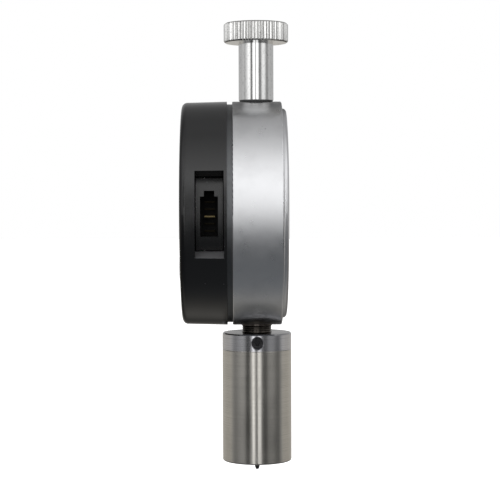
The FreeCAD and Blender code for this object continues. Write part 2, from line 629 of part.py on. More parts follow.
def buttons():
    """Three push buttons in the cover's face, each over a metal dome on the board."""
    domes = []
    flange_r, flange_t = BUTTON_R + 0.8, 0.7
    flange_front = WALL_Y + TOUCH
    flange_back = flange_front + flange_t
    cap_front = FRONT_Y - BUTTON_PROUD
    stem_r, over_dome, edge = 1.5, 0.9, 0.3
    dome_r, dome_top_r = 2.4, 1.6
    for name, side in (("power_button", -1), ("zero_button", 0), ("hold_button", 1)):
        x = side * BUTTON_X
        cap = rod_y(BUTTON_R, cap_front, flange_front, x, BUTTON_Z)
        cap = cap.makeFillet(edge, circles(cap, BUTTON_R, cap_front, "y"))
        cap = cap.fuse(rod_y(flange_r, flange_front, flange_back, x, BUTTON_Z))
        cap = cap.fuse(rod_y(stem_r, flange_back, BOARD_Y - over_dome, x, BUTTON_Z))
        place(name, cap.removeSplitter())
        domes.append(Part.makeCone(dome_r, dome_top_r, DOME_H, V(x, BOARD_Y, BUTTON_Z), V(0, -1, 0)))
    place("switch_domes", *domes)


def data_socket():
    """The keyed socket behind the recess. Its middle contact is the longest, so that it meets the plug first."""
    gap = 0.22
    y0, y1 = RECESS_Y0 + gap, RECESS_Y1 - gap
    half_h, step_x, step_y = 8.85, 19.5, BOARD_Y + 0.05
    body = case_block(SOCKET_REAR, CASE_BORE_R, y0, y1, -half_h, half_h).common(rod_y(RECESS_FLOOR_R, y0, y1))
    body = body.cut(case_block(SOCKET_REAR, step_x, y0, step_y, -half_h, half_h))
    mouth_y0, mouth_y1 = RECESS_Y - 2.3, RECESS_Y + 2.1
    mouth_low, mouth_high, key_high = -5.5, 4.4, 5.8
    key_y0, key_y1 = mouth_y0 + 0.95, mouth_y1 - 0.9
    longest, others, tail = 1.5, 0.4, 1.5
    body = body.cut(case_block(SOCKET_FLOOR, CASE_BORE_R, mouth_y0, mouth_y1, mouth_low, mouth_high))
    body = body.cut(case_block(SOCKET_FLOOR, CASE_BORE_R, key_y0, key_y1, mouth_high, key_high))
    middle = CONTACT_COUNT // 2
    contacts = []
    for i in range(CONTACT_COUNT):
        z = (mouth_low + mouth_high) / 2 + CONTACT_PITCH * (i - middle)
        low, high = z - CONTACT_T / 2, z + CONTACT_T / 2
        cy0, cy1 = RECESS_Y - CONTACT_W / 2, RECESS_Y + CONTACT_W / 2
        reach = longest if i == middle else others
        body = body.cut(case_block(SOCKET_REAR, SOCKET_FLOOR, cy0, cy1, low, high))
        contacts.append(case_block(SOCKET_REAR - tail, SOCKET_FLOOR + reach, cy0, cy1, low, high))
    place("data_socket", body.removeSplitter())
    place("socket_contacts", *contacts)


def battery():
    """The coin cell in the tray that slides out of the cover's side, its bay and the contact springs."""
    plate_inner, plate_overlap, tray_skin, window_r = -25.8, 1.2, 0.1, 6.0
    outside = -CASE_R - PAST
    tray = case_block(plate_inner - plate_overlap, TRAY_INNER, TRAY_BODY_Y0, TRAY_Y1, -TRAY_HALF, TRAY_HALF)
    plate = case_block(outside, plate_inner, TRAY_Y0, TRAY_Y1, -TRAY_HALF, TRAY_HALF)
    tray = tray.fuse(plate).common(cover_outline(tray_skin))
    cell_back, cell_edge, cell_inset = TRAY_Y1 - 0.6, 0.3, 0.05
    well = rod_y(CELL_R + TRAY_GAP, TRAY_BODY_Y0 - PAST, cell_back, CELL_X)
    well = well.cut(case_block(outside, plate_inner, FRONT_Y, 0, -FAR, FAR))
    tray = tray.cut(well).cut(rod_y(window_r, TRAY_BODY_Y0 - PAST, TRAY_Y1, CELL_X))
    grip_r, grip_pitch, grip_in = 0.35, 1.6, 0.15
    for i in (-1, 0, 1):
        tray = tray.cut(rod_y(grip_r, TRAY_Y0, TRAY_Y1, grip_in - CASE_R, CASE_Z + grip_pitch * i))
    place("battery_tray", tray.removeSplitter())
    cell = rod_y(CELL_R, TRAY_BODY_Y0 + cell_inset, cell_back, CELL_X)
    place("battery_cell", cell.makeFillet(cell_edge, circles(cell, CELL_R, cell_back, "y")))

    bay_front, bay_back, wall, bay_x, bay_hole_r = TRAY_Y0 - 0.3, -7.6, 0.9, -25.0, 3.2
    half = TRAY_HALF + TRAY_SIDE_GAP
    bay = case_block(bay_x, TRAY_INNER + wall, bay_front, bay_back, -half - wall, half + wall)
    bay = bay.cut(case_block(-CASE_R, TRAY_INNER + TRAY_GAP, bay_front, TRAY_Y1 + TRAY_GAP, -half, half))
    bay = bay.common(rod_y(COVER_BORE_R - cell_inset, FRONT_Y, 0))
    place("battery_bay", bay.cut(rod_y(bay_hole_r, TRAY_Y1, bay_back, CELL_X)))
    strip_t, half_w, strip_x0, leaf_x0, strip_x1 = 0.3, 1.5, -19.0, -13.0, -11.0
    pad_half_x, pad_half_z, leaf_gap = 2.5, 1.0, 0.06
    front = case_block(strip_x0, strip_x1, BOARD_BACK, BOARD_BACK + strip_t, -half_w, half_w)
    leaf = case_block(leaf_x0, strip_x1, BOARD_BACK + strip_t, TRAY_BODY_Y0 - leaf_gap, -half_w, half_w)
    back = case_block(
        CELL_X - pad_half_x, CELL_X + pad_half_x, TRAY_Y1 + 2 * TOUCH, bay_back, -pad_half_z, pad_half_z)
    place("battery_contacts", front.fuse(leaf).removeSplitter(), back)


def knurl_outline(z):
    """The closed outline of a straight knurl: one crest and one root for each tooth."""
    points = []
    for i in range(2 * KNURL_COUNT + 1):
        a = math.pi * i / KNURL_COUNT
        r = KNOB_R if i % 2 == 0 else KNOB_R - KNURL_DEPTH
        points.append(V(r * math.cos(a), r * math.sin(a), z))
    return Part.makePolygon(points)


def handle():
    """The hollow handle over the spindle's upper end, its seal, and the knurled knob that is pressed by hand."""
    root_r = STEM_R - TOUCH
    root_bottom = UPPER_BUSH_TOP + END_GAP
    stud_bottom = CASE_TOP + 10.9
    sleeve_top = KNOB_BOTTOM - KNOB_WASHER_T
    edge, web = 0.2, 1.2
    sleeve = turned_z([
        (0, root_bottom), (root_r, root_bottom), (root_r, HANDLE_BOTTOM), (HANDLE_R - edge, HANDLE_BOTTOM),
        (HANDLE_R, HANDLE_BOTTOM + edge), (HANDLE_R, sleeve_top), (0, sleeve_top),
    ])
    sleeve = sleeve.cut(rod_z(HANDLE_BORE_R, root_bottom, stud_bottom - web))
    place("handle_sleeve", sleeve.cut(rod_z(STUD_R, stud_bottom, sleeve_top)))

    seal = tube_z(HANDLE_R - edge, STEM_R, CASE_TOP - PAST, HANDLE_BOTTOM)
    place("handle_seal", seal.cut(rod_y(CASE_R, CASE_FRONT, CASE_REAR)))
    place("knob_washer", tube_z(HANDLE_R - END_GAP, STUD_R, sleeve_top, KNOB_BOTTOM))

    knob = Part.Face(knurl_outline(KNOB_BOTTOM)).extrude(V(0, 0, KNOB_T))
    chamfered_r = KNOB_R - KNOB_CHAMFER
    dish_r, dish = 6.2, 0.2
    blank = turned_z([
        (0, KNOB_BOTTOM), (chamfered_r, KNOB_BOTTOM), (KNOB_R, KNOB_BOTTOM + KNOB_CHAMFER),
        (KNOB_R, KNOB_TOP - KNOB_CHAMFER), (chamfered_r, KNOB_TOP), (dish_r, KNOB_TOP),
        (dish_r - dish, KNOB_TOP - dish), (0, KNOB_TOP - dish),
    ])
    place("handle_knob", knob.common(blank).fuse(rod_z(STUD_R, stud_bottom, KNOB_BOTTOM)))


os.makedirs("parts", exist_ok=True)
for make in (presser_foot, clamp_collar, indenter_parts, stem, spindle, case_body, back_cover, joint_ring,
             front_cover, display, sensor, buttons, data_socket, battery, handle):
    make()
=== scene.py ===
"""Handheld digital durometer: finishes, display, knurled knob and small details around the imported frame.

Laid out as an add-on: each operator makes one piece or a group of like pieces. Lengths are in metres.
The display faces -Y, the data socket faces +X and +Z is up along the indenter.
"""

import json
import math

import bmesh
import bpy
from bpy.props import FloatProperty, FloatVectorProperty, IntProperty, PointerProperty
from mathutils import Matrix, Vector


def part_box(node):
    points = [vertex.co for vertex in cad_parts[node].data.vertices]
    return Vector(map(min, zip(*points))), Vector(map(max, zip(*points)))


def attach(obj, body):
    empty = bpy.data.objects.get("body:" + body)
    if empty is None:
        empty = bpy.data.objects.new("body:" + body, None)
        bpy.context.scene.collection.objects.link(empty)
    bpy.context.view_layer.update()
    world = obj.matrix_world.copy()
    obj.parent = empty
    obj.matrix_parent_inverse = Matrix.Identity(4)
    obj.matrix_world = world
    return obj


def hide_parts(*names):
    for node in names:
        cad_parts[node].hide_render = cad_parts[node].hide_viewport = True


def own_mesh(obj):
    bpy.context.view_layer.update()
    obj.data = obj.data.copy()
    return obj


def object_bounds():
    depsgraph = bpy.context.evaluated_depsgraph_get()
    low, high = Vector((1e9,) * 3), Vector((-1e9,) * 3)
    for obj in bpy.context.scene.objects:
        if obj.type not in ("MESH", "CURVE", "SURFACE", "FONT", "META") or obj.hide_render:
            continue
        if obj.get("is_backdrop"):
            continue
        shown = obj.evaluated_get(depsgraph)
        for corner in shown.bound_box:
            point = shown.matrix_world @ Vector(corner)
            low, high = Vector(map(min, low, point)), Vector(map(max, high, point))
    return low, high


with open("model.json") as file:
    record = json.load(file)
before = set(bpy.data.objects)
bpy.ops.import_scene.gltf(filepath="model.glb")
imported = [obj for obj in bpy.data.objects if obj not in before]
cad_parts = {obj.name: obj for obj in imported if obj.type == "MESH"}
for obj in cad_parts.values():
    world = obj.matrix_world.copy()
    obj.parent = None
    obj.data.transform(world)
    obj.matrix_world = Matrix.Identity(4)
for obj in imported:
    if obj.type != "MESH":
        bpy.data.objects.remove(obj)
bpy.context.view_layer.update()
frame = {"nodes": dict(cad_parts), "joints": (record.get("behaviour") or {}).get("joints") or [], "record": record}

bl_info = {
    "name": "Digital Durometer",
    "version": (1, 0, 0),
    "blender": (4, 5, 0),
    "location": "View3D > Sidebar > Durometer",
    "description": "Finishes and details for a handheld digital durometer",
    "category": "Object",
}

MM = 0.001
SLOTS = {part["node"]: part["material_slot"] for part in frame["record"]["subparts"]}
X_AXIS = Vector((1, 0, 0))
Y_AXIS = Vector((0, 1, 0))
Z_AXIS = Vector((0, 0, 1))
AXES = {"X": X_AXIS, "Y": Y_AXIS, "Z": Z_AXIS}

CASE_LOW, CASE_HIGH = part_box("case_body")
CASE_CENTRE = Vector((0, 0, (CASE_LOW.z + CASE_HIGH.z) / 2))
BUTTONS = ("power_button", "zero_button", "hold_button")


class DurometerSizes(bpy.types.PropertyGroup):
    """Sizes of the details that a maker would change."""
    knurl_teeth: IntProperty(
        name="Knurl teeth", description="Teeth round the knob", default=66, min=12)
    knurl_depth: FloatProperty(
        name="Knurl depth", description="Depth of the knob's teeth", default=0.29 * MM, unit="LENGTH")
    digit_height: FloatProperty(
        name="Digit height", description="Height of the display's digits", default=9.6 * MM, unit="LENGTH")
    digit_pitch: FloatProperty(
        name="Digit pitch", description="Distance between two digits", default=6.9 * MM, unit="LENGTH")
    segment_width: FloatProperty(
        name="Segment width", description="Width of one bar of a digit", default=0.95 * MM, unit="LENGTH")
    print_thickness: FloatProperty(
        name="Print thickness", description="Thickness of printed marks", default=0.02 * MM, unit="LENGTH")
    dish_depth: FloatProperty(
        name="Dish depth", description="How far a button's top is dished", default=0.16 * MM, unit="LENGTH")
    camera_distance: FloatProperty(
        name="Camera distance", description="From the indenter's axis to it", default=389.5 * MM, unit="LENGTH")
    floor_drop: FloatProperty(
        name="Floor drop", description="From the indenter's tip down to the floor", default=0.16, unit="LENGTH")


class DurometerColours(bpy.types.PropertyGroup):
    """Colours of the main finishes."""
    case: FloatVectorProperty(
        name="Case", description="Satin metal of the case", subtype="COLOR", default=(0.74, 0.745, 0.76))
    cover: FloatVectorProperty(
        name="Cover", description="Black moulded plastic", subtype="COLOR", default=(0.003, 0.0032, 0.0036))
    ring: FloatVectorProperty(
        name="Joint ring", description="Between case and cover", subtype="COLOR", default=(0.135, 0.14, 0.145))
    foot: FloatVectorProperty(
        name="Presser foot", description="Warm fine-turned steel", subtype="COLOR", default=(0.56, 0.54, 0.5))
    collar: FloatVectorProperty(
        name="Collar", description="Cooler turned steel", subtype="COLOR", default=(0.55, 0.55, 0.57))
    bright: FloatVectorProperty(
        name="Bright metal", description="Polished handle and knob", subtype="COLOR", default=(0.8, 0.8, 0.795))
    knob: FloatVectorProperty(
        name="Knob", description="Bright plated knurl", subtype="COLOR", default=(0.93, 0.93, 0.92))
    stem: FloatVectorProperty(
        name="Stem", description="Dark oiled steel", subtype="COLOR", default=(0.09, 0.08, 0.07))
    film: FloatVectorProperty(
        name="Face film", description="Film round the display", subtype="COLOR", default=(0.075, 0.08, 0.086))
    display: FloatVectorProperty(
        name="Display", description="Liquid crystal panel", subtype="COLOR", default=(0.4, 0.44, 0.37))
    mark: FloatVectorProperty(
        name="Marks", description="Printed lines and icons", subtype="COLOR", default=(0.72, 0.73, 0.73))
    gold: FloatVectorProperty(
        name="Gold", description="Plated contacts", subtype="COLOR", default=(0.83, 0.6, 0.25))
    floor: FloatVectorProperty(
        name="Floor", description="Plain pale floor", subtype="COLOR", default=(0.92, 0.92, 0.92))


def sizes():
    return bpy.context.scene.durometer_sizes


def colours():
    return bpy.context.scene.durometer_colours


class Finish:
    """One procedural material, built node by node on Object coordinates."""

    def __init__(self, name, colour, roughness, metallic=0.0, **settings):
        self.material = bpy.data.materials.new(name)
        self.material.use_nodes = True
        self.tree = self.material.node_tree
        self.shader = self.tree.nodes["Principled BSDF"]
        self.colour = tuple(colour)
        self.shader.inputs["Base Color"].default_value = (*self.colour, 1)
        self.shader.inputs["Roughness"].default_value = roughness
        self.shader.inputs["Metallic"].default_value = metallic
        for socket, value in settings.items():
            self.shader.inputs[socket.replace("_", " ")].default_value = value

    def node(self, kind, **settings):
        made = self.tree.nodes.new(kind)
        for name, value in settings.items():
            setattr(made, name, value)
        return made

    def link(self, output, target):
        self.tree.links.new(output, target)

    def position(self, stretch=(1, 1, 1), centre=(0, 0, 0)):
        """The point on the piece, measured from centre and stretched along the axes."""
        mapping = self.node("ShaderNodeMapping")
        mapping.inputs["Scale"].default_value = stretch
        mapping.inputs["Location"].default_value = [-c * s for c, s in zip(centre, stretch)]
        self.link(self.node("ShaderNodeTexCoord").outputs["Object"], mapping.inputs["Vector"])
        return mapping.outputs["Vector"]

    def noise(self, scale, stretch=(1, 1, 1), detail=3.0, roughness=0.55):
        texture = self.node("ShaderNodeTexNoise")
        texture.inputs["Scale"].default_value = scale
        texture.inputs["Detail"].default_value = detail
        texture.inputs["Roughness"].default_value = roughness
        self.link(self.position(stretch), texture.inputs["Vector"])
        return texture.outputs["Fac"]

    def span(self, value, low, high, out_low=0.0, out_high=1.0):
        """Maps value from low..high to out_low..out_high, held at both ends."""
        remap = self.node("ShaderNodeMapRange", interpolation_type="SMOOTHSTEP")
        for socket, number in zip(remap.inputs[1:5], (low, high, out_low, out_high)):
            socket.default_value = number
        self.link(value, remap.inputs["Value"])
        return remap.outputs["Result"]

    def math(self, operation, first, second=0.0):
        """One sum on two values, which are numbers or outputs."""
        made = self.node("ShaderNodeMath", operation=operation)
        for socket, value in zip(made.inputs, (first, second)):
            if isinstance(value, (int, float)):
                socket.default_value = value
            else:
                self.link(value, socket)
        return made.outputs[0]

    def place_along(self, axis):
        """The point's place along the X, Y or Z axis."""
        split = self.node("ShaderNodeSeparateXYZ")
        self.link(self.position(), split.inputs[0])
        return split.outputs["XYZ".index(axis)]

    def radius(self, axis="Z", centre=(0, 0, 0)):
        """The point's distance from an axis through centre."""
        split = self.node("ShaderNodeSeparateXYZ")
        self.link(self.position((1, 1, 1), centre), split.inputs[0])
        across = [output for letter, output in zip("XYZ", split.outputs) if letter != axis]
        squares = [self.math("MULTIPLY", output, output) for output in across]
        return self.math("SQRT", self.math("ADD", *squares))

    def facing(self, direction, start=0.9, full=0.98):
        """1 where the surface faces a direction on the piece, 0 where it turns away."""
        made = self.node("ShaderNodeVectorMath", operation="DOT_PRODUCT")
        made.inputs[1].default_value = direction
        self.link(self.node("ShaderNodeNewGeometry").outputs["Normal"], made.inputs[0])
        return self.span(made.outputs["Value"], start, full)

    def specks(self, scale, radius, share):
        """Small round marks in a share of a grid's cells: 1 on a mark, 0 elsewhere."""
        cells = self.node("ShaderNodeTexVoronoi")
        cells.inputs["Scale"].default_value = scale
        self.link(self.position(), cells.inputs["Vector"])
        mark = self.span(cells.outputs["Distance"], radius, 0.6 * radius)
        split = self.node("ShaderNodeSeparateColor")
        self.link(cells.outputs["Color"], split.inputs["Color"])
        chosen = self.math("LESS_THAN", split.outputs["Red"], share)
        return self.math("MULTIPLY", mark, chosen)

    def tint(self, factor, other, amount=1.0):
        """Blends the base colour towards other where factor is high, over what is there already."""
        mix = self.node("ShaderNodeMix", data_type="RGBA")
        target = self.shader.inputs["Base Color"]
        if target.is_linked:
            self.link(target.links[0].from_socket, mix.inputs[6])
        else:
            mix.inputs[6].default_value = target.default_value
        mix.inputs[7].default_value = (*other, 1)
        self.link(self.math("MULTIPLY", factor, amount), mix.inputs["Factor"])
        self.link(mix.outputs[2], target)
        return self

    def shade(self, factor, scale_by):
        """Blends towards the base colour times scale_by where factor is high."""
        return self.tint(factor, [min(1.0, c * scale_by) for c in self.colour])

    def rough(self, factor, low, high):
        self.link(self.span(factor, 0.25, 0.75, low, high), self.shader.inputs["Roughness"])
        return self

    def bump(self, height, depth, strength=1.0):
        """Raises the surface by up to depth metres where height is high, on top of earlier bumps."""
        made = self.node("ShaderNodeBump")
        made.inputs["Distance"].default_value = depth
        made.inputs["Strength"].default_value = strength
        target = self.shader.inputs["Normal"]
        if target.is_linked:
            self.link(target.links[0].from_socket, made.inputs["Normal"])
        self.link(height, made.inputs["Height"])
        self.link(made.outputs["Normal"], target)
        return self

    def lathe(self, axis, centre, amount):
        """Stretches highlights across the cut lines that turning about an axis leaves."""
        self.shader.inputs["Anisotropic"].default_value = amount
        around = self.node("ShaderNodeVectorMath", operation="CROSS_PRODUCT")
        around.inputs[0].default_value = AXES[axis]
        self.link(self.position((1, 1, 1), centre), around.inputs[1])
        across = self.node("ShaderNodeVectorMath", operation="CROSS_PRODUCT")
        self.link(around.outputs[0], across.inputs[0])
        self.link(self.node("ShaderNodeNewGeometry").outputs["Normal"], across.inputs[1])
        self.link(across.outputs[0], self.shader.inputs["Tangent"])
        return self

    def cut_lines(self, pitch, axis, centre, depth):
        """Fine uneven lines round an axis: along it on a barrel, and in rings on an end face."""
        split = self.node("ShaderNodeSeparateXYZ")
        self.link(self.position((1, 1, 1), centre), split.inputs[0])
        joined = self.node("ShaderNodeCombineXYZ")
        self.link(self.math("DIVIDE", split.outputs["XYZ".index(axis)], pitch), joined.inputs[0])
        self.link(self.math("DIVIDE", self.radius(axis, centre), pitch), joined.inputs[1])
        texture = self.node("ShaderNodeTexNoise")
        texture.inputs["Scale"].default_value = 1.0
        texture.inputs["Detail"].default_value = 2.0
        self.link(joined.outputs[0], texture.inputs["Vector"])
        self.bump(texture.outputs["Fac"], depth)
        return texture.outputs["Fac"]


def paint(finish, *nodes):
    """Gives CAD nodes a finish in place of the plain one that they came with."""
    for name in nodes:
        mesh = frame["nodes"][name].data
        mesh.materials.clear()
        mesh.materials.append(finish.material)


def paint_slot(finish, slot):
    paint(finish, *[name for name, used in SLOTS.items() if used == slot])


def finish_mesh(name, bm, finish, body="housing", replaces=(), sharp=math.radians(28)):
    """Closes a bmesh into a piece at the origin that rides on a body."""
    bmesh.ops.remove_doubles(bm, verts=bm.verts, dist=1e-7)
    bmesh.ops.recalc_face_normals(bm, faces=bm.faces)
    for face in bm.faces:
        face.smooth = True
    for edge in bm.edges:
        edge.smooth = edge.is_manifold and edge.calc_face_angle(0.0) < sharp
    mesh = bpy.data.meshes.new(name)
    bm.to_mesh(mesh)
    bm.free()
    piece = bpy.data.objects.new(name, mesh)
    bpy.context.scene.collection.objects.link(piece)
    mesh.materials.append(finish.material)
    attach(piece, body)
    if replaces:
        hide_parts(*replaces)
    return piece


def turn(bm, outline, centre, axis, steps=128):
    """Spins an outline of (radius, height) points a full turn about an axis through centre."""
    verts = [bm.verts.new(Vector(centre) + X_AXIS * r + axis * h) for r, h in outline]
    edges = [bm.edges.new(pair) for pair in zip(verts, verts[1:])]
    bmesh.ops.spin(bm, geom=verts + edges, cent=centre, axis=axis, dvec=(0, 0, 0), angle=math.tau,
                   steps=steps, use_merge=True, use_normal_flip=False, use_duplicate=False)
    bmesh.ops.remove_doubles(bm, verts=bm.verts, dist=1e-7)


def prism(bm, corners, y, thickness):
    """A flat mark facing -Y: its outline in (x, z), its face at y, and its thickness behind that."""
    face = bm.faces.new([bm.verts.new((x, y, z)) for x, z in corners])
    result = bmesh.ops.extrude_face_region(bm, geom=[face])
    moved = [v for v in result["geom"] if isinstance(v, bmesh.types.BMVert)]
    bmesh.ops.translate(bm, verts=moved, vec=(0, thickness, 0))


def rectangle(x, z, half_w, half_h):
    """The corners of an upright rectangle about (x, z)."""
    left, right, low, high = x - half_w, x + half_w, z - half_h, z + half_h
    return [(left, low), (right, low), (right, high), (left, high)]


def arc(centre, radius, start, stop, count=24):
    """Points on an arc in (x, z), angles in degrees."""
    angles = [math.radians(start + (stop - start) * i / count) for i in range(count + 1)]
    return [(centre[0] + radius * math.cos(a), centre[1] + radius * math.sin(a)) for a in angles]


def band(bm, centre, radius, width, start, stop, y, thickness):
    """A flat curved bar: part of a ring in the XZ plane."""
    outer = arc(centre, radius + width / 2, start, stop)
    inner = arc(centre, radius - width / 2, stop, start)
    prism(bm, outer + inner, y, thickness)


def case_finish(name, amount_of_wear, roughness=0.3):
    """Satin metal: blasted grain, faint clouding, small marks, and painted shade in a ring round the handle's
    foot.
    """
    finish = Finish(name, colours().case, roughness, 1.0)
    clouds = finish.noise(160)
    finish.shade(finish.span(clouds, 0.45, 0.75), 0.93)
    finish.rough(finish.noise(420, detail=4.0), roughness - 0.03, roughness + 0.04)
    grain = finish.noise(6500, detail=2.0)
    finish.bump(grain, 0.0022 * MM)
    marks = finish.specks(300, 0.11, 0.17 * amount_of_wear)
    finish.shade(marks, 0.55).bump(marks, -0.01 * MM)
    scuffs = finish.noise(900, (1, 6, 0.25), 5.0, 0.7)
    finish.shade(finish.span(scuffs, 0.64, 0.74), 0.84)
    # Painted shade: the top of the case is darkened in a ring round the handle's foot.
    handle_foot_shade = finish.span(finish.place_along("Z"), CASE_HIGH.z - 5.5 * MM, CASE_HIGH.z - 2 * MM)
    finish.shade(finish.math("MULTIPLY", finish.span(finish.radius(), 18 * MM, 8 * MM), handle_foot_shade), 0.27)
    return finish


def plastic_finish(name, colour, roughness, grain_depth=0.006 * MM, wear=1.0, gloss=0.5):
    """Moulded plastic: a fine spark-eroded grain, faint dust and a slightly uneven gloss."""
    finish = Finish(name, colour, roughness, Specular_IOR_Level=gloss)
    finish.rough(finish.noise(240, detail=4.0), roughness - 0.03, roughness + 0.04)
    finish.bump(finish.noise(4200, detail=2.0), grain_depth)
    finish.tint(finish.specks(900, 0.13, 0.03 * wear), (0.2, 0.2, 0.21), 0.6)
    handled = finish.span(finish.noise(90, detail=5.0), 0.5, 0.75)
    finish.tint(handled, [min(1.0, c * 1.5 + 0.001) for c in colour], 0.5 * wear)
    return finish


def turned_finish(name, colour, roughness, pitch=0.2 * MM, stretch=0.7, axis="Z", centre=(0, 0, 0)):
    """Metal turned on a lathe: uneven cut lines round the axis and highlights drawn out across them."""
    finish = Finish(name, colour, roughness, 1.0)
    finish.lathe(axis, centre, stretch)
    lines = finish.cut_lines(pitch, axis, centre, 0.002 * MM)
    finish.shade(finish.span(lines, 0.45, 0.7), 0.78)
    clouds = finish.noise(140, detail=5.0)
    finish.shade(finish.span(clouds, 0.5, 0.8), 0.9)
    finish.rough(clouds, roughness - 0.03, roughness + 0.04)
    return finish


def bright_finish(name, colour, roughness):
    """Polished plating: almost a mirror, with slight ripple, fine wipe marks and pinpricks."""
    finish = Finish(name, colour, roughness, 1.0)
    finish.bump(finish.noise(330, (1, 1, 0.3)), 0.0035 * MM)
    finish.rough(finish.noise(700, (1, 1, 0.2), 4.0), roughness - 0.02, roughness + 0.05)
    pricks = finish.specks(620, 0.13, 0.25)
    finish.shade(pricks, 0.5).bump(pricks, -0.008 * MM)
    finish.shade(finish.span(finish.noise(2600, (1, 1, 0.6), 2.0), 0.5, 0.7), 0.8)
    film = finish.noise(210, detail=5.0)
    finish.shade(finish.span(film, 0.5, 0.8), 0.93)
    return finish


def ground_finish(name, colour, roughness, metallic=1.0):
    """Plain machined or drawn metal inside the tool."""
    finish = Finish(name, colour, roughness, metallic)
    finish.rough(finish.noise(900, (1, 1, 0.1), 4.0), roughness - 0.05, roughness + 0.08)
    finish.shade(finish.span(finish.noise(500), 0.5, 0.75), 0.82)
    finish.bump(finish.noise(3000, (1, 1, 0.15), 2.0), 0.002 * MM)
    return finish


def board_finish():
    """Green solder mask over copper tracks, with plated holes."""
    finish = Finish("solder_mask", (0.012, 0.085, 0.04), 0.35, Coat_Weight=0.4)
    tracks = finish.node("ShaderNodeTexBrick")
    tracks.inputs["Scale"].default_value = 420
    tracks.inputs["Mortar Size"].default_value = 0.035
    swap = finish.node("ShaderNodeSeparateXYZ")
    turned = finish.node("ShaderNodeCombineXYZ")
    finish.link(finish.position(), swap.inputs[0])
    finish.link(swap.outputs[0], turned.inputs[0])
    finish.link(swap.outputs[2], turned.inputs[1])
    finish.link(turned.outputs[0], tracks.inputs["Vector"])
    finish.tint(tracks.outputs["Fac"], (0.03, 0.19, 0.08), 0.8)
    finish.bump(tracks.outputs["Fac"], 0.02 * MM)
    finish.tint(finish.specks(700, 0.2, 0.2), (0.75, 0.6, 0.3), 0.9)
    return finish


def film_finish():
    """Satin film: a fine even texture, faint smudges."""
    finish = Finish("face_film", colours().film, 0.38, Coat_Weight=0.15, Coat_Roughness=0.3)
    finish.rough(finish.noise(120, detail=5.0), 0.33, 0.46)
    finish.bump(finish.noise(5200, detail=1.0), 0.004 * MM)
    finish.shade(finish.span(finish.noise(60, detail=4.0), 0.45, 0.8), 1.3)
    return finish


def display_finish():
    """Reflective liquid crystal: grey-green with a fine even grain and a soft clouding."""
    finish = Finish("liquid_crystal", colours().display, 0.3, Coat_Weight=0.3, Coat_Roughness=0.1)
    finish.shade(finish.span(finish.noise(70, detail=3.0), 0.4, 0.8), 0.93)
    finish.shade(finish.span(finish.noise(9000, detail=1.0), 0.45, 0.7), 0.96)
    finish.rough(finish.noise(300), 0.26, 0.34)
    return finish


def window_finish():
    """Clear hard-coated plastic with faint wipe marks."""
    finish = Finish("clear_window", (0.9, 0.93, 0.92), 0.06, IOR=1.49, Alpha=0.06, Specular_IOR_Level=0.5)
    finish.rough(finish.noise(160, (1, 1, 3), 5.0), 0.04, 0.12)
    finish.bump(finish.noise(90), 0.004 * MM)
    return finish


def segment_finish(name, colour, alpha):
    """Dark liquid crystal bars, slightly uneven in depth."""
    finish = Finish(name, colour, 0.35, Alpha=alpha)
    finish.shade(finish.span(finish.noise(800), 0.4, 0.8), 1.5)
    finish.rough(finish.noise(500), 0.3, 0.4)
    return finish


def mark_finish():
    """Screen-printed ink: pale, matt, with pinholes."""
    finish = Finish("printed_marks", colours().mark, 0.6)
    finish.shade(finish.specks(2600, 0.2, 0.2), 0.75)
    finish.bump(finish.noise(5000, detail=1.0), 0.003 * MM)
    return finish


def rubber_finish():
    """Matt moulded rubber with a soft sheen where fingers touch it."""
    finish = Finish("button_rubber", (0.1, 0.105, 0.11), 0.62, Sheen_Weight=0.15)
    finish.rough(finish.noise(260, detail=4.0), 0.55, 0.7)
    finish.bump(finish.noise(3800, detail=3.0), 0.012 * MM)
    finish.tint(finish.specks(1500, 0.16, 0.08), (0.35, 0.35, 0.35), 0.6)
    return finish


class DUROMETER_OT_case(bpy.types.Operator):
    """Satin metal of the case and its back cover"""
    bl_idname = "durometer.case"
    bl_label = "Case"

    def execute(self, context):
        paint_slot(case_finish("satin_case", 1.0), "case_metal")
        paint(case_finish("satin_back", 0.6, 0.38), "back_cover")
        return {"FINISHED"}


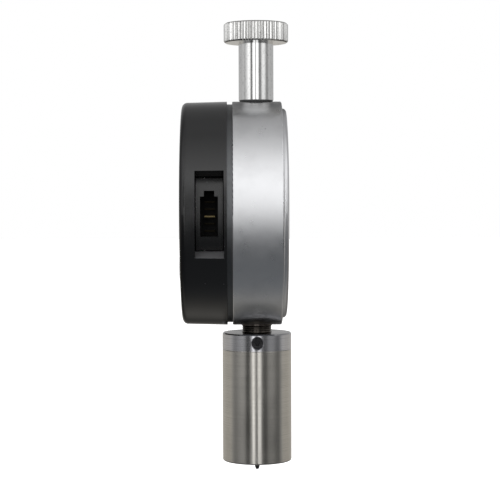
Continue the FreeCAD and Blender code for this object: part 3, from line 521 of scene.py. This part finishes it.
class DUROMETER_OT_cover(bpy.types.Operator):
    """Black front cover, joint ring and battery tray"""
    bl_idname = "durometer.cover"
    bl_label = "Front cover"

    RECESS_HALF_ANGLE = 21.65
    END_WALL_LIGHT = (0.11, 0.11, 0.115)
    SOCKET_SHADE = (0.0008, 0.0008, 0.0008)
    SEAL_SHADE_BLACK = (0.012, 0.012, 0.013)

    def execute(self, context):
        cover = plastic_finish("cover_plastic", colours().cover, 0.17, 0.004 * MM, 0.7, 0.66)
        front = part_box("front_cover")[0].y
        rim = cover.span(cover.place_along("Y"), front, front + 2 * MM, 0.25, 0.68)
        cover.link(rim, cover.shader.inputs["Specular IOR Level"])
        # Painted light: the upward-facing end wall of the recess, below the middle, is tinted lighter grey.
        slope = math.radians(self.RECESS_HALF_ANGLE)
        end_wall = cover.facing((math.sin(slope), 0, math.cos(slope)), 0.97, 0.99)
        lower = cover.span(cover.place_along("Z"), CASE_CENTRE.z, CASE_CENTRE.z - 4 * MM)
        cover.tint(cover.math("MULTIPLY", end_wall, lower), self.END_WALL_LIGHT)
        paint_slot(cover, "cover_plastic")
        self.socket()
        paint_slot(ground_finish("ring_metal", colours().ring, 0.36), "ring_black")
        # Painted shade: this black rubber, on the washer under the knob and the seal at the handle's foot, stands
        # in for the shade that falls in those joints.
        paint_slot(plastic_finish("seal_rubber", self.SEAL_SHADE_BLACK, 0.55), "seal_rubber")
        return {"FINISHED"}

    def socket(self):
        """The data socket's body: matt deep in its mouth, with painted shade darkening it there."""
        body = plastic_finish("socket_plastic", colours().cover, 0.27, 0.004 * MM, 0.5, 0.62)
        low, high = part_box("data_socket")
        deep = body.span(body.place_along("X"), high.x - 2.5 * MM, high.x - 4.5 * MM)
        target = body.shader.inputs["Roughness"]
        body.link(body.math("MAXIMUM", target.links[0].from_socket, deep), target)
        # Painted shade: deep in the mouth the body is tinted almost black.
        body.tint(deep, self.SOCKET_SHADE)
        paint(body, "data_socket")


class DUROMETER_OT_handle(bpy.types.Operator):
    """Polished handle sleeve and the knurled knob on top of it"""
    bl_idname = "durometer.handle"
    bl_label = "Handle and knob"

    TOOTH = (0.0, 0.3, 1.0, 0.3)
    ROOT_SHADE = (0.2, 0.19, 0.18)
    SHARP = math.radians(18)

    def ring(self, bm, radius, z, depth, limit):
        """One ring of points round the knob: teeth cut to depth, nothing standing out past limit."""
        count = len(self.TOOTH) * sizes().knurl_teeth
        made = bmesh.ops.create_circle(bm, segments=count, radius=radius, cap_ends=False)["verts"]
        for vert in made:
            turn_of = math.atan2(vert.co.y, vert.co.x) / math.tau * count
            cut = self.TOOTH[int(round(turn_of)) % len(self.TOOTH)]
            flat = Vector((vert.co.x, vert.co.y, 0)).normalized()
            vert.co = flat * min(radius - depth * cut, limit) + Z_AXIS * z
        return made

    def execute(self, context):
        paint_slot(bright_finish("polished_sleeve", colours().bright, 0.1), "polished_steel")
        low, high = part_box("handle_knob")
        radius, bottom, top = high.x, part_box("handle_sleeve")[1].z, high.z
        depth = sizes().knurl_depth
        chamfer, shoulder = 0.4 * MM, 0.05 * MM
        dish, dish_radius = 0.2 * MM, 6.25 * MM
        end, bend = radius - chamfer - shoulder, radius - 0.3 * chamfer
        levels = [
            (0.45 * radius, bottom, 0.0, radius), (radius, bottom, depth, end),
            (radius, bottom + 0.7 * chamfer, depth, bend), (radius, bottom + chamfer, depth, radius),
            (radius, top - chamfer, depth, radius), (radius, top - 0.7 * chamfer, depth, bend),
            (radius, top, depth, end), (dish_radius, top, 0.0, radius),
            (dish_radius - dish, top - dish, 0.0, radius),
        ]
        bm = bmesh.new()
        rings = [self.ring(bm, *level) for level in levels]
        for lower, upper in zip(rings, rings[1:]):
            for a, b, c, d in zip(lower, lower[1:] + lower[:1], upper[1:] + upper[:1], upper):
                bm.faces.new((a, b, c, d))
        for end in (rings[0], rings[-1]):
            bm.faces.new(end)
        plating = bright_finish("bright_knob", colours().knob, 0.2)
        # Painted shade: the roots of the knob's teeth are tinted dark grey.
        roots = plating.span(plating.radius(), radius - 0.45 * depth, radius - depth)
        rim = plating.span(plating.radius(), radius - 2 * depth, radius - 1.2 * depth)
        plating.tint(plating.math("MULTIPLY", roots, rim), self.ROOT_SHADE, 0.8)
        finish_mesh("knurled_knob", bm, plating, replaces=("handle_knob",), sharp=self.SHARP)
        return {"FINISHED"}


class DUROMETER_OT_foot(bpy.types.Operator):
    """Presser foot, clamp collar, set screws and stem"""
    bl_idname = "durometer.foot"
    bl_label = "Presser foot"

    END_SHADE = (0.05, 0.048, 0.046)
    END_FAR_SHADE = (0.3, 0.3, 0.3)
    OXIDE = (0.03, 0.03, 0.032)

    def execute(self, context):
        paint_slot(turned_finish("foot_steel", colours().foot, 0.2), "foot_steel")
        collar = turned_finish("collar_steel", colours().collar, 0.18, stretch=0.6)
        # Painted shade: the collar's upper face is tinted nearly black, lifted to grey towards the back (+Y).
        end_face = collar.facing((0, 0, 1))
        far_side = collar.span(collar.place_along("Y"), 0, 8 * MM)
        collar.tint(end_face, self.END_SHADE, 0.95)
        collar.tint(collar.math("MULTIPLY", end_face, far_side), self.END_FAR_SHADE, 0.7)
        paint(collar, "clamp_collar")
        paint(turned_finish("stem_steel", colours().stem, 0.25, 0.3 * MM, 0.3), "lower_stem")
        paint_slot(ground_finish("black_oxide", self.OXIDE, 0.4, 0.6), "screw_black")
        return {"FINISHED"}


class DUROMETER_OT_indenter(bpy.types.Operator):
    """Indenter pin with its truncated cone, and the steel parts behind it"""
    bl_idname = "durometer.indenter"
    bl_label = "Indenter"

    HALF_ANGLE = math.radians(17.5)

    def execute(self, context):
        low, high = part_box("indenter")
        tip, top, shank = low.z, high.z, high.x
        pin, flat, edge = 0.625 * MM, 0.395 * MM, 0.03 * MM
        cone = (pin - flat) / math.tan(self.HALF_ANGLE)
        neck, shoulder = 0.9 * MM, 1.3 * MM
        outline = [
            (0, tip), (flat - edge, tip), (flat, tip + edge), (pin - 0.3 * edge, tip + cone - edge),
            (pin, tip + cone + edge), (pin, neck), (shank, shoulder), (shank, top), (0, top),
        ]
        bm = bmesh.new()
        turn(bm, outline, (0, 0, 0), Z_AXIS, 96)
        steel = turned_finish("hardened_steel", (0.09, 0.09, 0.095), 0.3, 0.05 * MM, 0.3)
        finish_mesh("indenter_pin", bm, steel, "indenter", ("indenter",))
        paint_slot(steel, "tip_steel")
        paint_slot(ground_finish("ground_steel", (0.55, 0.55, 0.55), 0.24), "ground_steel")
        return {"FINISHED"}


class DUROMETER_OT_springs(bpy.types.Operator):
    """Main spring and return spring as smooth round wire with closed ends"""
    bl_idname = "durometer.springs"
    bl_label = "Springs"

    TURNS = 7
    STEPS_PER_TURN = 40
    WIRE_SIDES = 12

    def coil(self, node, wire_radius, steel, keep):
        """Round wire wound up the node's box; keep, the share of its length left at full travel, is not used."""
        low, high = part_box(node)
        mean = high.x - wire_radius
        rise = high.z - low.z - 2 * wire_radius
        bm = bmesh.new()
        place = Matrix.Translation((mean, 0, low.z + wire_radius)) @ Matrix.Rotation(math.pi / 2, 4, "X")
        bmesh.ops.create_circle(bm, segments=self.WIRE_SIDES, radius=wire_radius, cap_ends=True, matrix=place)
        steps = self.STEPS_PER_TURN * self.TURNS
        bmesh.ops.spin(bm, geom=bm.faces[:], cent=(0, 0, 0), axis=Z_AXIS, dvec=(0, 0, rise / steps),
                       angle=math.tau * self.TURNS, steps=steps, use_merge=False, use_duplicate=False)
        piece = finish_mesh(node + "_coil", bm, steel, replaces=(node,))
        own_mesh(piece)

    def execute(self, context):
        steel = ground_finish("spring_steel", (0.42, 0.42, 0.43), 0.28)
        travel = max(j["range_m"][1] for j in frame["joints"] if j["name"] == "indenter_travel")
        for node, wire_radius in (("main_spring", 0.4 * MM), ("return_spring", 0.2 * MM)):
            low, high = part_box(node)
            self.coil(node, wire_radius, steel, 1 - travel / (high.z - low.z))
        return {"FINISHED"}


class DUROMETER_OT_display(bpy.types.Operator):
    """Display: window, liquid crystal panel, seven-segment digits and the printed frame line"""
    bl_idname = "durometer.display"
    bl_label = "Display"

    BARS = {"a": (0, 1, 0), "g": (0, 0, 0), "d": (0, -1, 0),
            "f": (-1, 0.5, 1), "b": (1, 0.5, 1), "e": (-1, -0.5, 1), "c": (1, -0.5, 1)}
    SLANT = 0.1
    LIT = (0.004, 0.0045, 0.005)
    FAINT = (0.2, 0.22, 0.19)

    def bar(self, bm, x, z, length, width, upright, y, centre_z):
        """One six-cornered bar of a digit, slanted with the others."""
        half, side = length / 2, width / 2
        tip = half - side
        corners = [(half, 0), (tip, side), (-tip, side), (-half, 0), (-tip, -side), (tip, -side)]
        if upright:
            corners = [(-b, a) for a, b in corners]
        placed = [(x + a + self.SLANT * (z + b - centre_z), z + b) for a, b in corners]
        prism(bm, placed, y, sizes().print_thickness)

    def digit(self, bm, x, z, bars, y):
        height = sizes().digit_height
        width = sizes().segment_width
        half_w, half_h = 0.26 * height, 0.5 * height - width / 2
        for bar in bars:
            across, up, upright = self.BARS[bar]
            length = (half_h if upright else 2 * half_w) - 0.15 * width
            self.bar(bm, x + across * half_w, z + up * half_h, length, width, upright, y, z)

    def execute(self, context):
        paint_slot(window_finish(), "window_clear")
        paint_slot(display_finish(), "display_glass")
        paint_slot(film_finish(), "face_film")
        low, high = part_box("display_panel")
        face_y = low.y - 1.5 * sizes().print_thickness
        centre_z = (low.z + high.z) / 2
        pitch = sizes().digit_pitch
        places = [pitch * (i - 1) for i in range(3)]
        lit, faint = bmesh.new(), bmesh.new()
        for x, bars in zip(places, ("", "abcdef", "abcdef")):
            self.digit(lit, x, centre_z, bars, face_y)
            self.digit(faint, x, centre_z, [b for b in self.BARS if b not in bars], face_y)
        foot_z = centre_z - sizes().digit_height / 2
        dot_radius, dot_inset = 0.5 * MM, 0.3 * MM
        for x in (-pitch / 2, pitch / 2):
            dot = lit if x > 0 else faint
            round_dot = arc((x - dot_inset, foot_z + dot_radius), dot_radius, 0, 345, 23)
            prism(dot, round_dot, face_y, sizes().print_thickness)
        mark_x, mark_up = 13.2 * MM, 5.6 * MM
        self.battery_mark(lit, mark_x, centre_z + mark_up, face_y)
        finish_mesh("display_digits", lit, segment_finish("lit_segments", self.LIT, 1.0))
        pale = segment_finish("faint_segments", self.FAINT, 0.14)
        finish_mesh("display_faint_segments", faint, pale)
        self.frame_line()
        return {"FINISHED"}

    def battery_mark(self, bm, x, z, y):
        """A small outline of a cell with two filled bars."""
        thick = sizes().print_thickness
        w, h, line = 1.6 * MM, 0.85 * MM, 0.18 * MM
        bar_x, bar_w, bar_h = 0.6 * MM, 0.35 * MM, 0.45 * MM
        for side in (-1, 1):
            prism(bm, rectangle(x, z + side * h, w, line), y, thick)
            prism(bm, rectangle(x + side * w, z, line, h), y + 0.3 * thick, thick)
            prism(bm, rectangle(x + side * bar_x, z, bar_w, bar_h), y, thick)

    def frame_line(self):
        """The printed line round the window."""
        low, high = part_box("display_window")
        film_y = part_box("face_plate")[0].y
        gap, line, corner = 1.2 * MM, 0.35 * MM, 2.2 * MM
        centre_z = (low.z + high.z) / 2
        bm = bmesh.new()
        loops = []
        for grow in (gap, gap + line):
            half_w, half_h = high.x + grow, (high.z - low.z) / 2 + grow
            radius = corner + grow - gap
            points = []
            for sx, sz, start in ((1, 1, 0), (-1, 1, 90), (-1, -1, 180), (1, -1, 270)):
                middle = (sx * (half_w - radius), centre_z + sz * (half_h - radius))
                points += arc(middle, radius, start, start + 90, 12)
            verts = [bm.verts.new((x, film_y - sizes().print_thickness, z)) for x, z in points]
            loops += [bm.edges.new((a, b)) for a, b in zip(verts, verts[1:] + verts[:1])]
        bmesh.ops.bridge_loops(bm, edges=loops)
        back = bmesh.ops.extrude_face_region(bm, geom=bm.faces[:])
        moved = [v for v in back["geom"] if isinstance(v, bmesh.types.BMVert)]
        bmesh.ops.translate(bm, verts=moved, vec=(0, 1.5 * sizes().print_thickness, 0))
        finish_mesh("face_line", bm, mark_finish())


class DUROMETER_OT_buttons(bpy.types.Operator):
    """Three dished push buttons with printed icons"""
    bl_idname = "durometer.buttons"
    bl_label = "Buttons"

    def button(self, node, rubber):
        """A cap turned about the button's own axis: dished top, rounded rim, flange and stem."""
        low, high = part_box(node)
        centre = Vector(((low.x + high.x) / 2, 0, (low.z + high.z) / 2))
        front, back = low.y, high.y
        radius, flange, stem, lead = 4.0 * MM, (high.x - low.x) / 2, 1.5 * MM, 0.2 * MM
        dish = sizes().dish_depth
        flange_y, flange_back = front + 2.01 * MM, front + 2.71 * MM
        outline = [
            (0, front + dish), (0.65 * radius, front + dish), (0.775 * radius, front + 0.6 * dish),
            (0.8625 * radius, front + 0.05 * MM), (0.9 * radius, front), (0.95 * radius, front + 0.02 * MM),
            (0.985 * radius, front + 0.12 * MM), (radius, front + 0.3 * MM), (radius, flange_y),
            (flange, flange_y + 0.03 * MM), (flange, flange_back), (stem, flange_back + 0.02 * MM),
            (stem, back - lead), (stem - lead, back), (0, back),
        ]
        bm = bmesh.new()
        turn(bm, outline, centre, Y_AXIS, 96)
        finish_mesh(node + "_cap", bm, rubber, node, (node,))
        return centre, front + dish - sizes().print_thickness

    def icon(self, node, centre, y):
        """A generic mark: a power sign, a zero or a pause sign."""
        at = (centre.x, centre.z)
        thick = 2 * sizes().print_thickness
        half_line = 0.18 * MM
        bm = bmesh.new()
        if node == "power_button":
            band(bm, at, 1.25 * MM, 0.34 * MM, 125, 415, y, thick)
            bars = [(0, 0.65 * MM, 0.35 * MM)]
        elif node == "zero_button":
            band(bm, at, 1.2 * MM, 0.36 * MM, 0, 359.9, y, thick)
            bars = []
        else:
            bars = [(-0.6 * MM, 0, 1.2 * MM), (0.6 * MM, 0, 1.2 * MM)]
        for x, up, half_h in bars:
            prism(bm, rectangle(at[0] + x, at[1] + up, half_line, half_h), y, thick)
        finish_mesh(node + "_icon", bm, self.ink, node)

    def execute(self, context):
        rubber = rubber_finish()
        self.ink = mark_finish()
        for node in BUTTONS:
            centre, y = self.button(node, rubber)
            self.icon(node, centre, y)
        return {"FINISHED"}


class DUROMETER_OT_socket(bpy.types.Operator):
    """Plated contacts of the data socket and the battery"""
    bl_idname = "durometer.socket"
    bl_label = "Data socket"

    CUT_END_SHADE = (0.016, 0.014, 0.011)
    SHADED = (0.008, 0.007, 0.0045)
    GLINT_END = (0.15, 0.12, 0.06)

    def execute(self, context):
        gold = Finish("gold_plate", colours().gold, 0.22, 1.0)
        gold.rough(gold.noise(1800, detail=4.0), 0.16, 0.3)
        gold.shade(gold.span(gold.noise(900), 0.5, 0.75), 0.8)
        gold.bump(gold.noise(2600), 0.002 * MM)
        low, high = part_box("socket_contacts")
        cut_end = gold.facing(X_AXIS)
        off_middle = gold.math("SUBTRACT", gold.place_along("Z"), (low.z + high.z) / 2)
        from_middle = gold.math("ABSOLUTE", off_middle)
        reach = 0.6 * MM
        # Painted shade and highlight: the cut ends and the contacts away from the middle are tinted dark, and the
        # middle contact's end gets a dim gold glint.
        gold.tint(cut_end, self.CUT_END_SHADE, 0.97)
        gold.tint(gold.span(from_middle, reach, reach + 0.2 * MM), self.SHADED, 0.97)
        longest = gold.span(from_middle, reach, reach - 0.2 * MM)
        gold.tint(gold.math("MULTIPLY", cut_end, longest), self.GLINT_END)
        paint_slot(gold, "contact_gold")
        return {"FINISHED"}


class DUROMETER_OT_inner_works(bpy.types.Operator):
    """Finishes of the boards, chips, bushes, screws and the cell"""
    bl_idname = "durometer.inner_works"
    bl_label = "Inner works"

    def execute(self, context):
        paint_slot(board_finish(), "board_green")
        paint_slot(plastic_finish("chip_body", (0.02, 0.02, 0.021), 0.5, 0.01 * MM, 0.5), "chip_black")
        paint_slot(plastic_finish("frame_plastic", (0.7, 0.7, 0.67), 0.45, 0.006 * MM, 0.4), "frame_plastic")
        paint_slot(plastic_finish("contact_strip", (0.35, 0.2, 0.2), 0.6, 0.01 * MM, 0.5), "strip_rubber")
        paint_slot(turned_finish("turned_brass", (0.62, 0.43, 0.17), 0.24, stretch=0.4), "bush_brass")
        paint_slot(ground_finish("bright_screws", (0.56, 0.56, 0.57), 0.25), "screw_steel")
        heads = ground_finish("back_screws", (0.56, 0.56, 0.57), 0.25)
        # Painted shade: the screw heads are tinted almost black below their top, in their sockets.
        head_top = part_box("back_cover_screws")[1].y
        recess_shade = heads.span(heads.place_along("Y"), head_top - 0.1 * MM, head_top - 0.3 * MM)
        heads.tint(recess_shade, (0.02, 0.02, 0.02), 0.9)
        paint(heads, "back_cover_screws")
        paint_slot(ground_finish("carrier_metal", (0.55, 0.56, 0.58), 0.35), "carrier_metal")
        paint_slot(ground_finish("cell_plating", (0.66, 0.66, 0.65), 0.2), "cell_metal")
        scale = Finish("scale_plating", (0.55, 0.45, 0.2), 0.25, 0.8)
        ruling = scale.node("ShaderNodeTexWave", bands_direction="Z")
        ruling.inputs["Scale"].default_value = 400
        scale.link(scale.position(), ruling.inputs["Vector"])
        scale.shade(ruling.outputs["Fac"], 0.35)
        scale.rough(scale.noise(600), 0.2, 0.32)
        paint_slot(scale, "scale_glass")
        return {"FINISHED"}


class DUROMETER_OT_stage(bpy.types.Operator):
    """Plain pale floor, soft studio light and the camera"""
    bl_idname = "durometer.stage"
    bl_label = "Stage"

    CAMERA_SIDE = -5.5 * MM
    CAMERA_HEIGHT = 68.48 * MM
    CAMERA_ROLL = math.radians(-0.2)
    AIM = Vector((0, -1.72 * MM, 54.93 * MM))
    LENS = 107.5
    # Brightness of the studio by elevation in degrees, on the camera's side and behind the tool
    FRONT = ((-90, 0.17), (-75, 0.15), (-55, 0.14), (-40, 0.13), (-28, 0.16), (-18, 0.26), (-8, 0.56),
             (0, 0.87), (9, 1.42), (22, 1.5), (38, 1.28), (52, 1.03), (68, 0.76), (90, 0.46))
    BACK = ((-90, 0.25), (-80, 0.3), (-70, 0.35), (-60, 0.4), (-47, 0.28), (-27, 0.1), (-12, 0.5),
            (-4, 0.55), (3, 0.5), (15, 0.46), (28, 0.36), (45, 0.3), (60, 0.33), (90, 0.46))
    # Soft boxes and gaps seen round the horizon: azimuth from the camera's direction, and brightness
    ABOVE = ((-180, 0.7), (-110, 0.62), (-93, 0.55), (-84, 0.38), (-74, 0.48), (-59, 0.78), (-46, 1.0),
             (-37, 0.42), (-30, 0.14), (-23, 0.6), (-15, 1.6), (-3, 0.2), (8, 1.45), (15, 0.65), (24, 0.2),
             (36, 0.55), (48, 0.8), (62, 0.6), (76, 0.24), (92, 0.4), (108, 0.56), (130, 0.68), (180, 0.7))
    BELOW = ((-180, 1.2), (-125, 1.2), (-106, 1.15), (-91, 0.56), (-77, 0.43), (-65, 0.52), (-54, 0.54),
             (-43, 0.4), (-32, 0.12), (-23, 0.34), (-17, 1.0), (-12, 3.0), (-7, 0.9), (-2, 0.25), (3, 0.9),
             (8, 2.4), (13, 0.8), (18, 0.3), (28, 0.16), (38, 0.36), (49, 0.38), (60, 0.3), (72, 0.28),
             (85, 0.54), (100, 1.1), (117, 1.25), (180, 1.2))
    # Soft lamps: name, place, width and power
    LAMPS = (("key_light", (0.7, -0.35, 0.65), 0.5, 1.6), ("fill_light", (-0.6, -0.5, 0.4), 0.6, 1.0),
             ("back_light", (-0.3, 0.8, 0.6), 0.6, 1.2))
    WHITE = (1, 1, 1, 1)
    COOL = (0.92, 0.97, 1.03, 1)
    WARM = (1, 0.965, 0.9, 1)

    def ramp(self, tree, value, stops, low, high):
        """A curve through (position, brightness) stops between low and high."""
        spread = tree.nodes.new("ShaderNodeMapRange")
        for socket, number in zip(spread.inputs[1:5], (low, high, 0, 1)):
            socket.default_value = number
        tree.links.new(value, spread.inputs["Value"])
        curve = tree.nodes.new("ShaderNodeFloatCurve")
        line = curve.mapping.curves[0]
        top = max(brightness for at, brightness in stops)
        points = [((at - low) / (high - low), brightness / top) for at, brightness in stops]
        line.points[0].location, line.points[1].location = points[0], points[-1]
        for at, brightness in points[1:-1]:
            line.points.new(at, brightness)
        curve.mapping.update()
        tree.links.new(spread.outputs["Result"], curve.inputs["Value"])
        scaled = tree.nodes.new("ShaderNodeMath")
        scaled.operation = "MULTIPLY"
        scaled.inputs[1].default_value = top
        tree.links.new(curve.outputs[0], scaled.inputs[0])
        return scaled.outputs[0]

    def studio(self):
        """The surroundings that the metal reflects: white for the camera, soft boxes for everything else."""
        world = bpy.data.worlds.new("studio")
        bpy.context.scene.world = world
        world.use_nodes = True
        tree = world.node_tree
        background = tree.nodes["Background"]

        def node(kind, *inputs, **settings):
            made = tree.nodes.new(kind)
            for name, value in settings.items():
                setattr(made, name, value)
            for socket, value in zip(made.inputs, inputs):
                if isinstance(value, (int, float)):
                    socket.default_value = value
                elif value is not None:
                    tree.links.new(value, socket)
            return made

        direction = node("ShaderNodeSeparateXYZ", node("ShaderNodeTexCoord").outputs["Generated"])
        x, y, z = direction.outputs
        degrees = 180 / math.pi
        tilted = node("ShaderNodeMath", z, operation="ARCSINE").outputs[0]
        rise = node("ShaderNodeMath", tilted, degrees, operation="MULTIPLY").outputs[0]
        turned = node("ShaderNodeMath", y, x, operation="ARCTAN2").outputs[0]
        bearing = node("ShaderNodeMath", turned, degrees, operation="MULTIPLY").outputs[0]
        front = self.ramp(tree, rise, self.FRONT, -90, 90)
        back = self.ramp(tree, rise, self.BACK, -90, 90)
        above = self.ramp(tree, bearing, self.ABOVE, -180, 180)
        below = self.ramp(tree, bearing, self.BELOW, -180, 180)
        smooth = {"interpolation_type": "SMOOTHSTEP"}
        sink = node("ShaderNodeMapRange", rise, 2.0, -5.0, 0.0, 1.0, **smooth).outputs[0]
        around = node("ShaderNodeMix", sink, None, above, below).outputs[0]
        level = node("ShaderNodeMath", rise, operation="ABSOLUTE").outputs[0]
        fade = node("ShaderNodeMapRange", level, 16.0, 42.0, 1.0, 0.0, **smooth).outputs[0]
        boxes = node("ShaderNodeMix", fade, None, 1.0, around)
        lit = node("ShaderNodeMath", front, boxes.outputs[0], operation="MULTIPLY").outputs[0]
        side = node("ShaderNodeMapRange", x, -0.35, 0.25, 0.0, 1.0, **smooth).outputs[0]
        mixed = node("ShaderNodeMix", side, None, back, lit)

        def blend(factor, first, second, kind="MIX"):
            made = node("ShaderNodeMix", factor, data_type="RGBA", blend_type=kind)
            for socket, value in ((made.inputs[6], first), (made.inputs[7], second)):
                if isinstance(value, tuple):
                    socket.default_value = value
                else:
                    tree.links.new(value, socket)
            return made.outputs[2]

        low = node("ShaderNodeMapRange", rise, -5.0, -50.0, 0.0, 1.0).outputs[0]
        hue = blend(side, blend(sink, self.WHITE, self.WARM), blend(low, self.WHITE, self.COOL))
        seen = node("ShaderNodeLightPath").outputs["Is Camera Ray"]
        lighting = blend(1.0, mixed.outputs[0], hue, "MULTIPLY")
        tree.links.new(blend(seen, lighting, self.WHITE), background.inputs["Color"])

    def floor(self, low):
        bm = bmesh.new()
        bmesh.ops.create_grid(bm, x_segments=1, y_segments=1, size=8.0)
        bmesh.ops.translate(bm, verts=bm.verts, vec=(0, 0, low.z - sizes().floor_drop))
        mesh = bpy.data.meshes.new("floor")
        bm.to_mesh(mesh)
        bm.free()
        plane = bpy.data.objects.new("floor", mesh)
        bpy.context.scene.collection.objects.link(plane)
        paper = Finish("pale_floor", colours().floor, 0.9, Emission_Color=(1, 1, 1, 1), Emission_Strength=0.75)
        paper.bump(paper.noise(40), 0.1 * MM)
        mesh.materials.append(paper.material)
        plane.visible_glossy = False
        plane.visible_diffuse = False
        plane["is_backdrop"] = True

    def lamp(self, name, place, aim, size, power):
        light = bpy.data.lights.new(name, "AREA")
        light.size = size
        light.energy = power
        lamp = bpy.data.objects.new(name, light)
        lamp.location = place
        lamp.rotation_euler = (aim - place).to_track_quat("-Z", "Y").to_euler()
        lamp.visible_glossy = False
        bpy.context.scene.collection.objects.link(lamp)

    def execute(self, context):
        scene = context.scene
        low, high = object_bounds()
        middle = (Vector(low) + Vector(high)) / 2
        self.studio()
        self.floor(Vector(low))
        for name, spot, size, power in self.LAMPS:
            self.lamp(name, Vector(spot), middle, size, power)
        place = Vector((sizes().camera_distance, self.CAMERA_SIDE, self.CAMERA_HEIGHT))
        camera = bpy.data.objects.new("camera", bpy.data.cameras.new("camera"))
        camera.data.lens = self.LENS
        camera.data.clip_start = 0.01
        camera.location = place
        look = (self.AIM - place).to_track_quat("-Z", "Y").to_matrix()
        camera.rotation_euler = (look @ Matrix.Rotation(self.CAMERA_ROLL, 3, "Z")).to_euler()
        scene.collection.objects.link(camera)
        scene.camera = camera
        scene.view_settings.view_transform = "Standard"
        return {"FINISHED"}


OPERATORS = (
    DUROMETER_OT_stage, DUROMETER_OT_case, DUROMETER_OT_cover, DUROMETER_OT_handle, DUROMETER_OT_foot,
    DUROMETER_OT_indenter, DUROMETER_OT_springs, DUROMETER_OT_display, DUROMETER_OT_buttons,
    DUROMETER_OT_socket, DUROMETER_OT_inner_works,
)


class DUROMETER_PT_panel(bpy.types.Panel):
    """Lists the durometer's operators, sizes and colours"""
    bl_idname = "DUROMETER_PT_panel"
    bl_label = "Durometer"
    bl_space_type = "VIEW_3D"
    bl_region_type = "UI"
    bl_category = "Durometer"

    def draw(self, context):
        for operator in OPERATORS:
            self.layout.operator(operator.bl_idname)
        for group in (sizes(), colours()):
            for name in group.__annotations__:
                self.layout.prop(group, name)


CLASSES = (DurometerSizes, DurometerColours, *OPERATORS, DUROMETER_PT_panel)


def register():
    for cls in CLASSES:
        bpy.utils.register_class(cls)
    bpy.types.Scene.durometer_sizes = PointerProperty(type=DurometerSizes)
    bpy.types.Scene.durometer_colours = PointerProperty(type=DurometerColours)


def unregister():
    del bpy.types.Scene.durometer_colours
    del bpy.types.Scene.durometer_sizes
    for cls in reversed(CLASSES):
        bpy.utils.unregister_class(cls)


def main():
    register()
    for operator in OPERATORS:
        getattr(bpy.ops.durometer, operator.bl_idname.split(".")[1])()


if __name__ == "__main__":
    main()
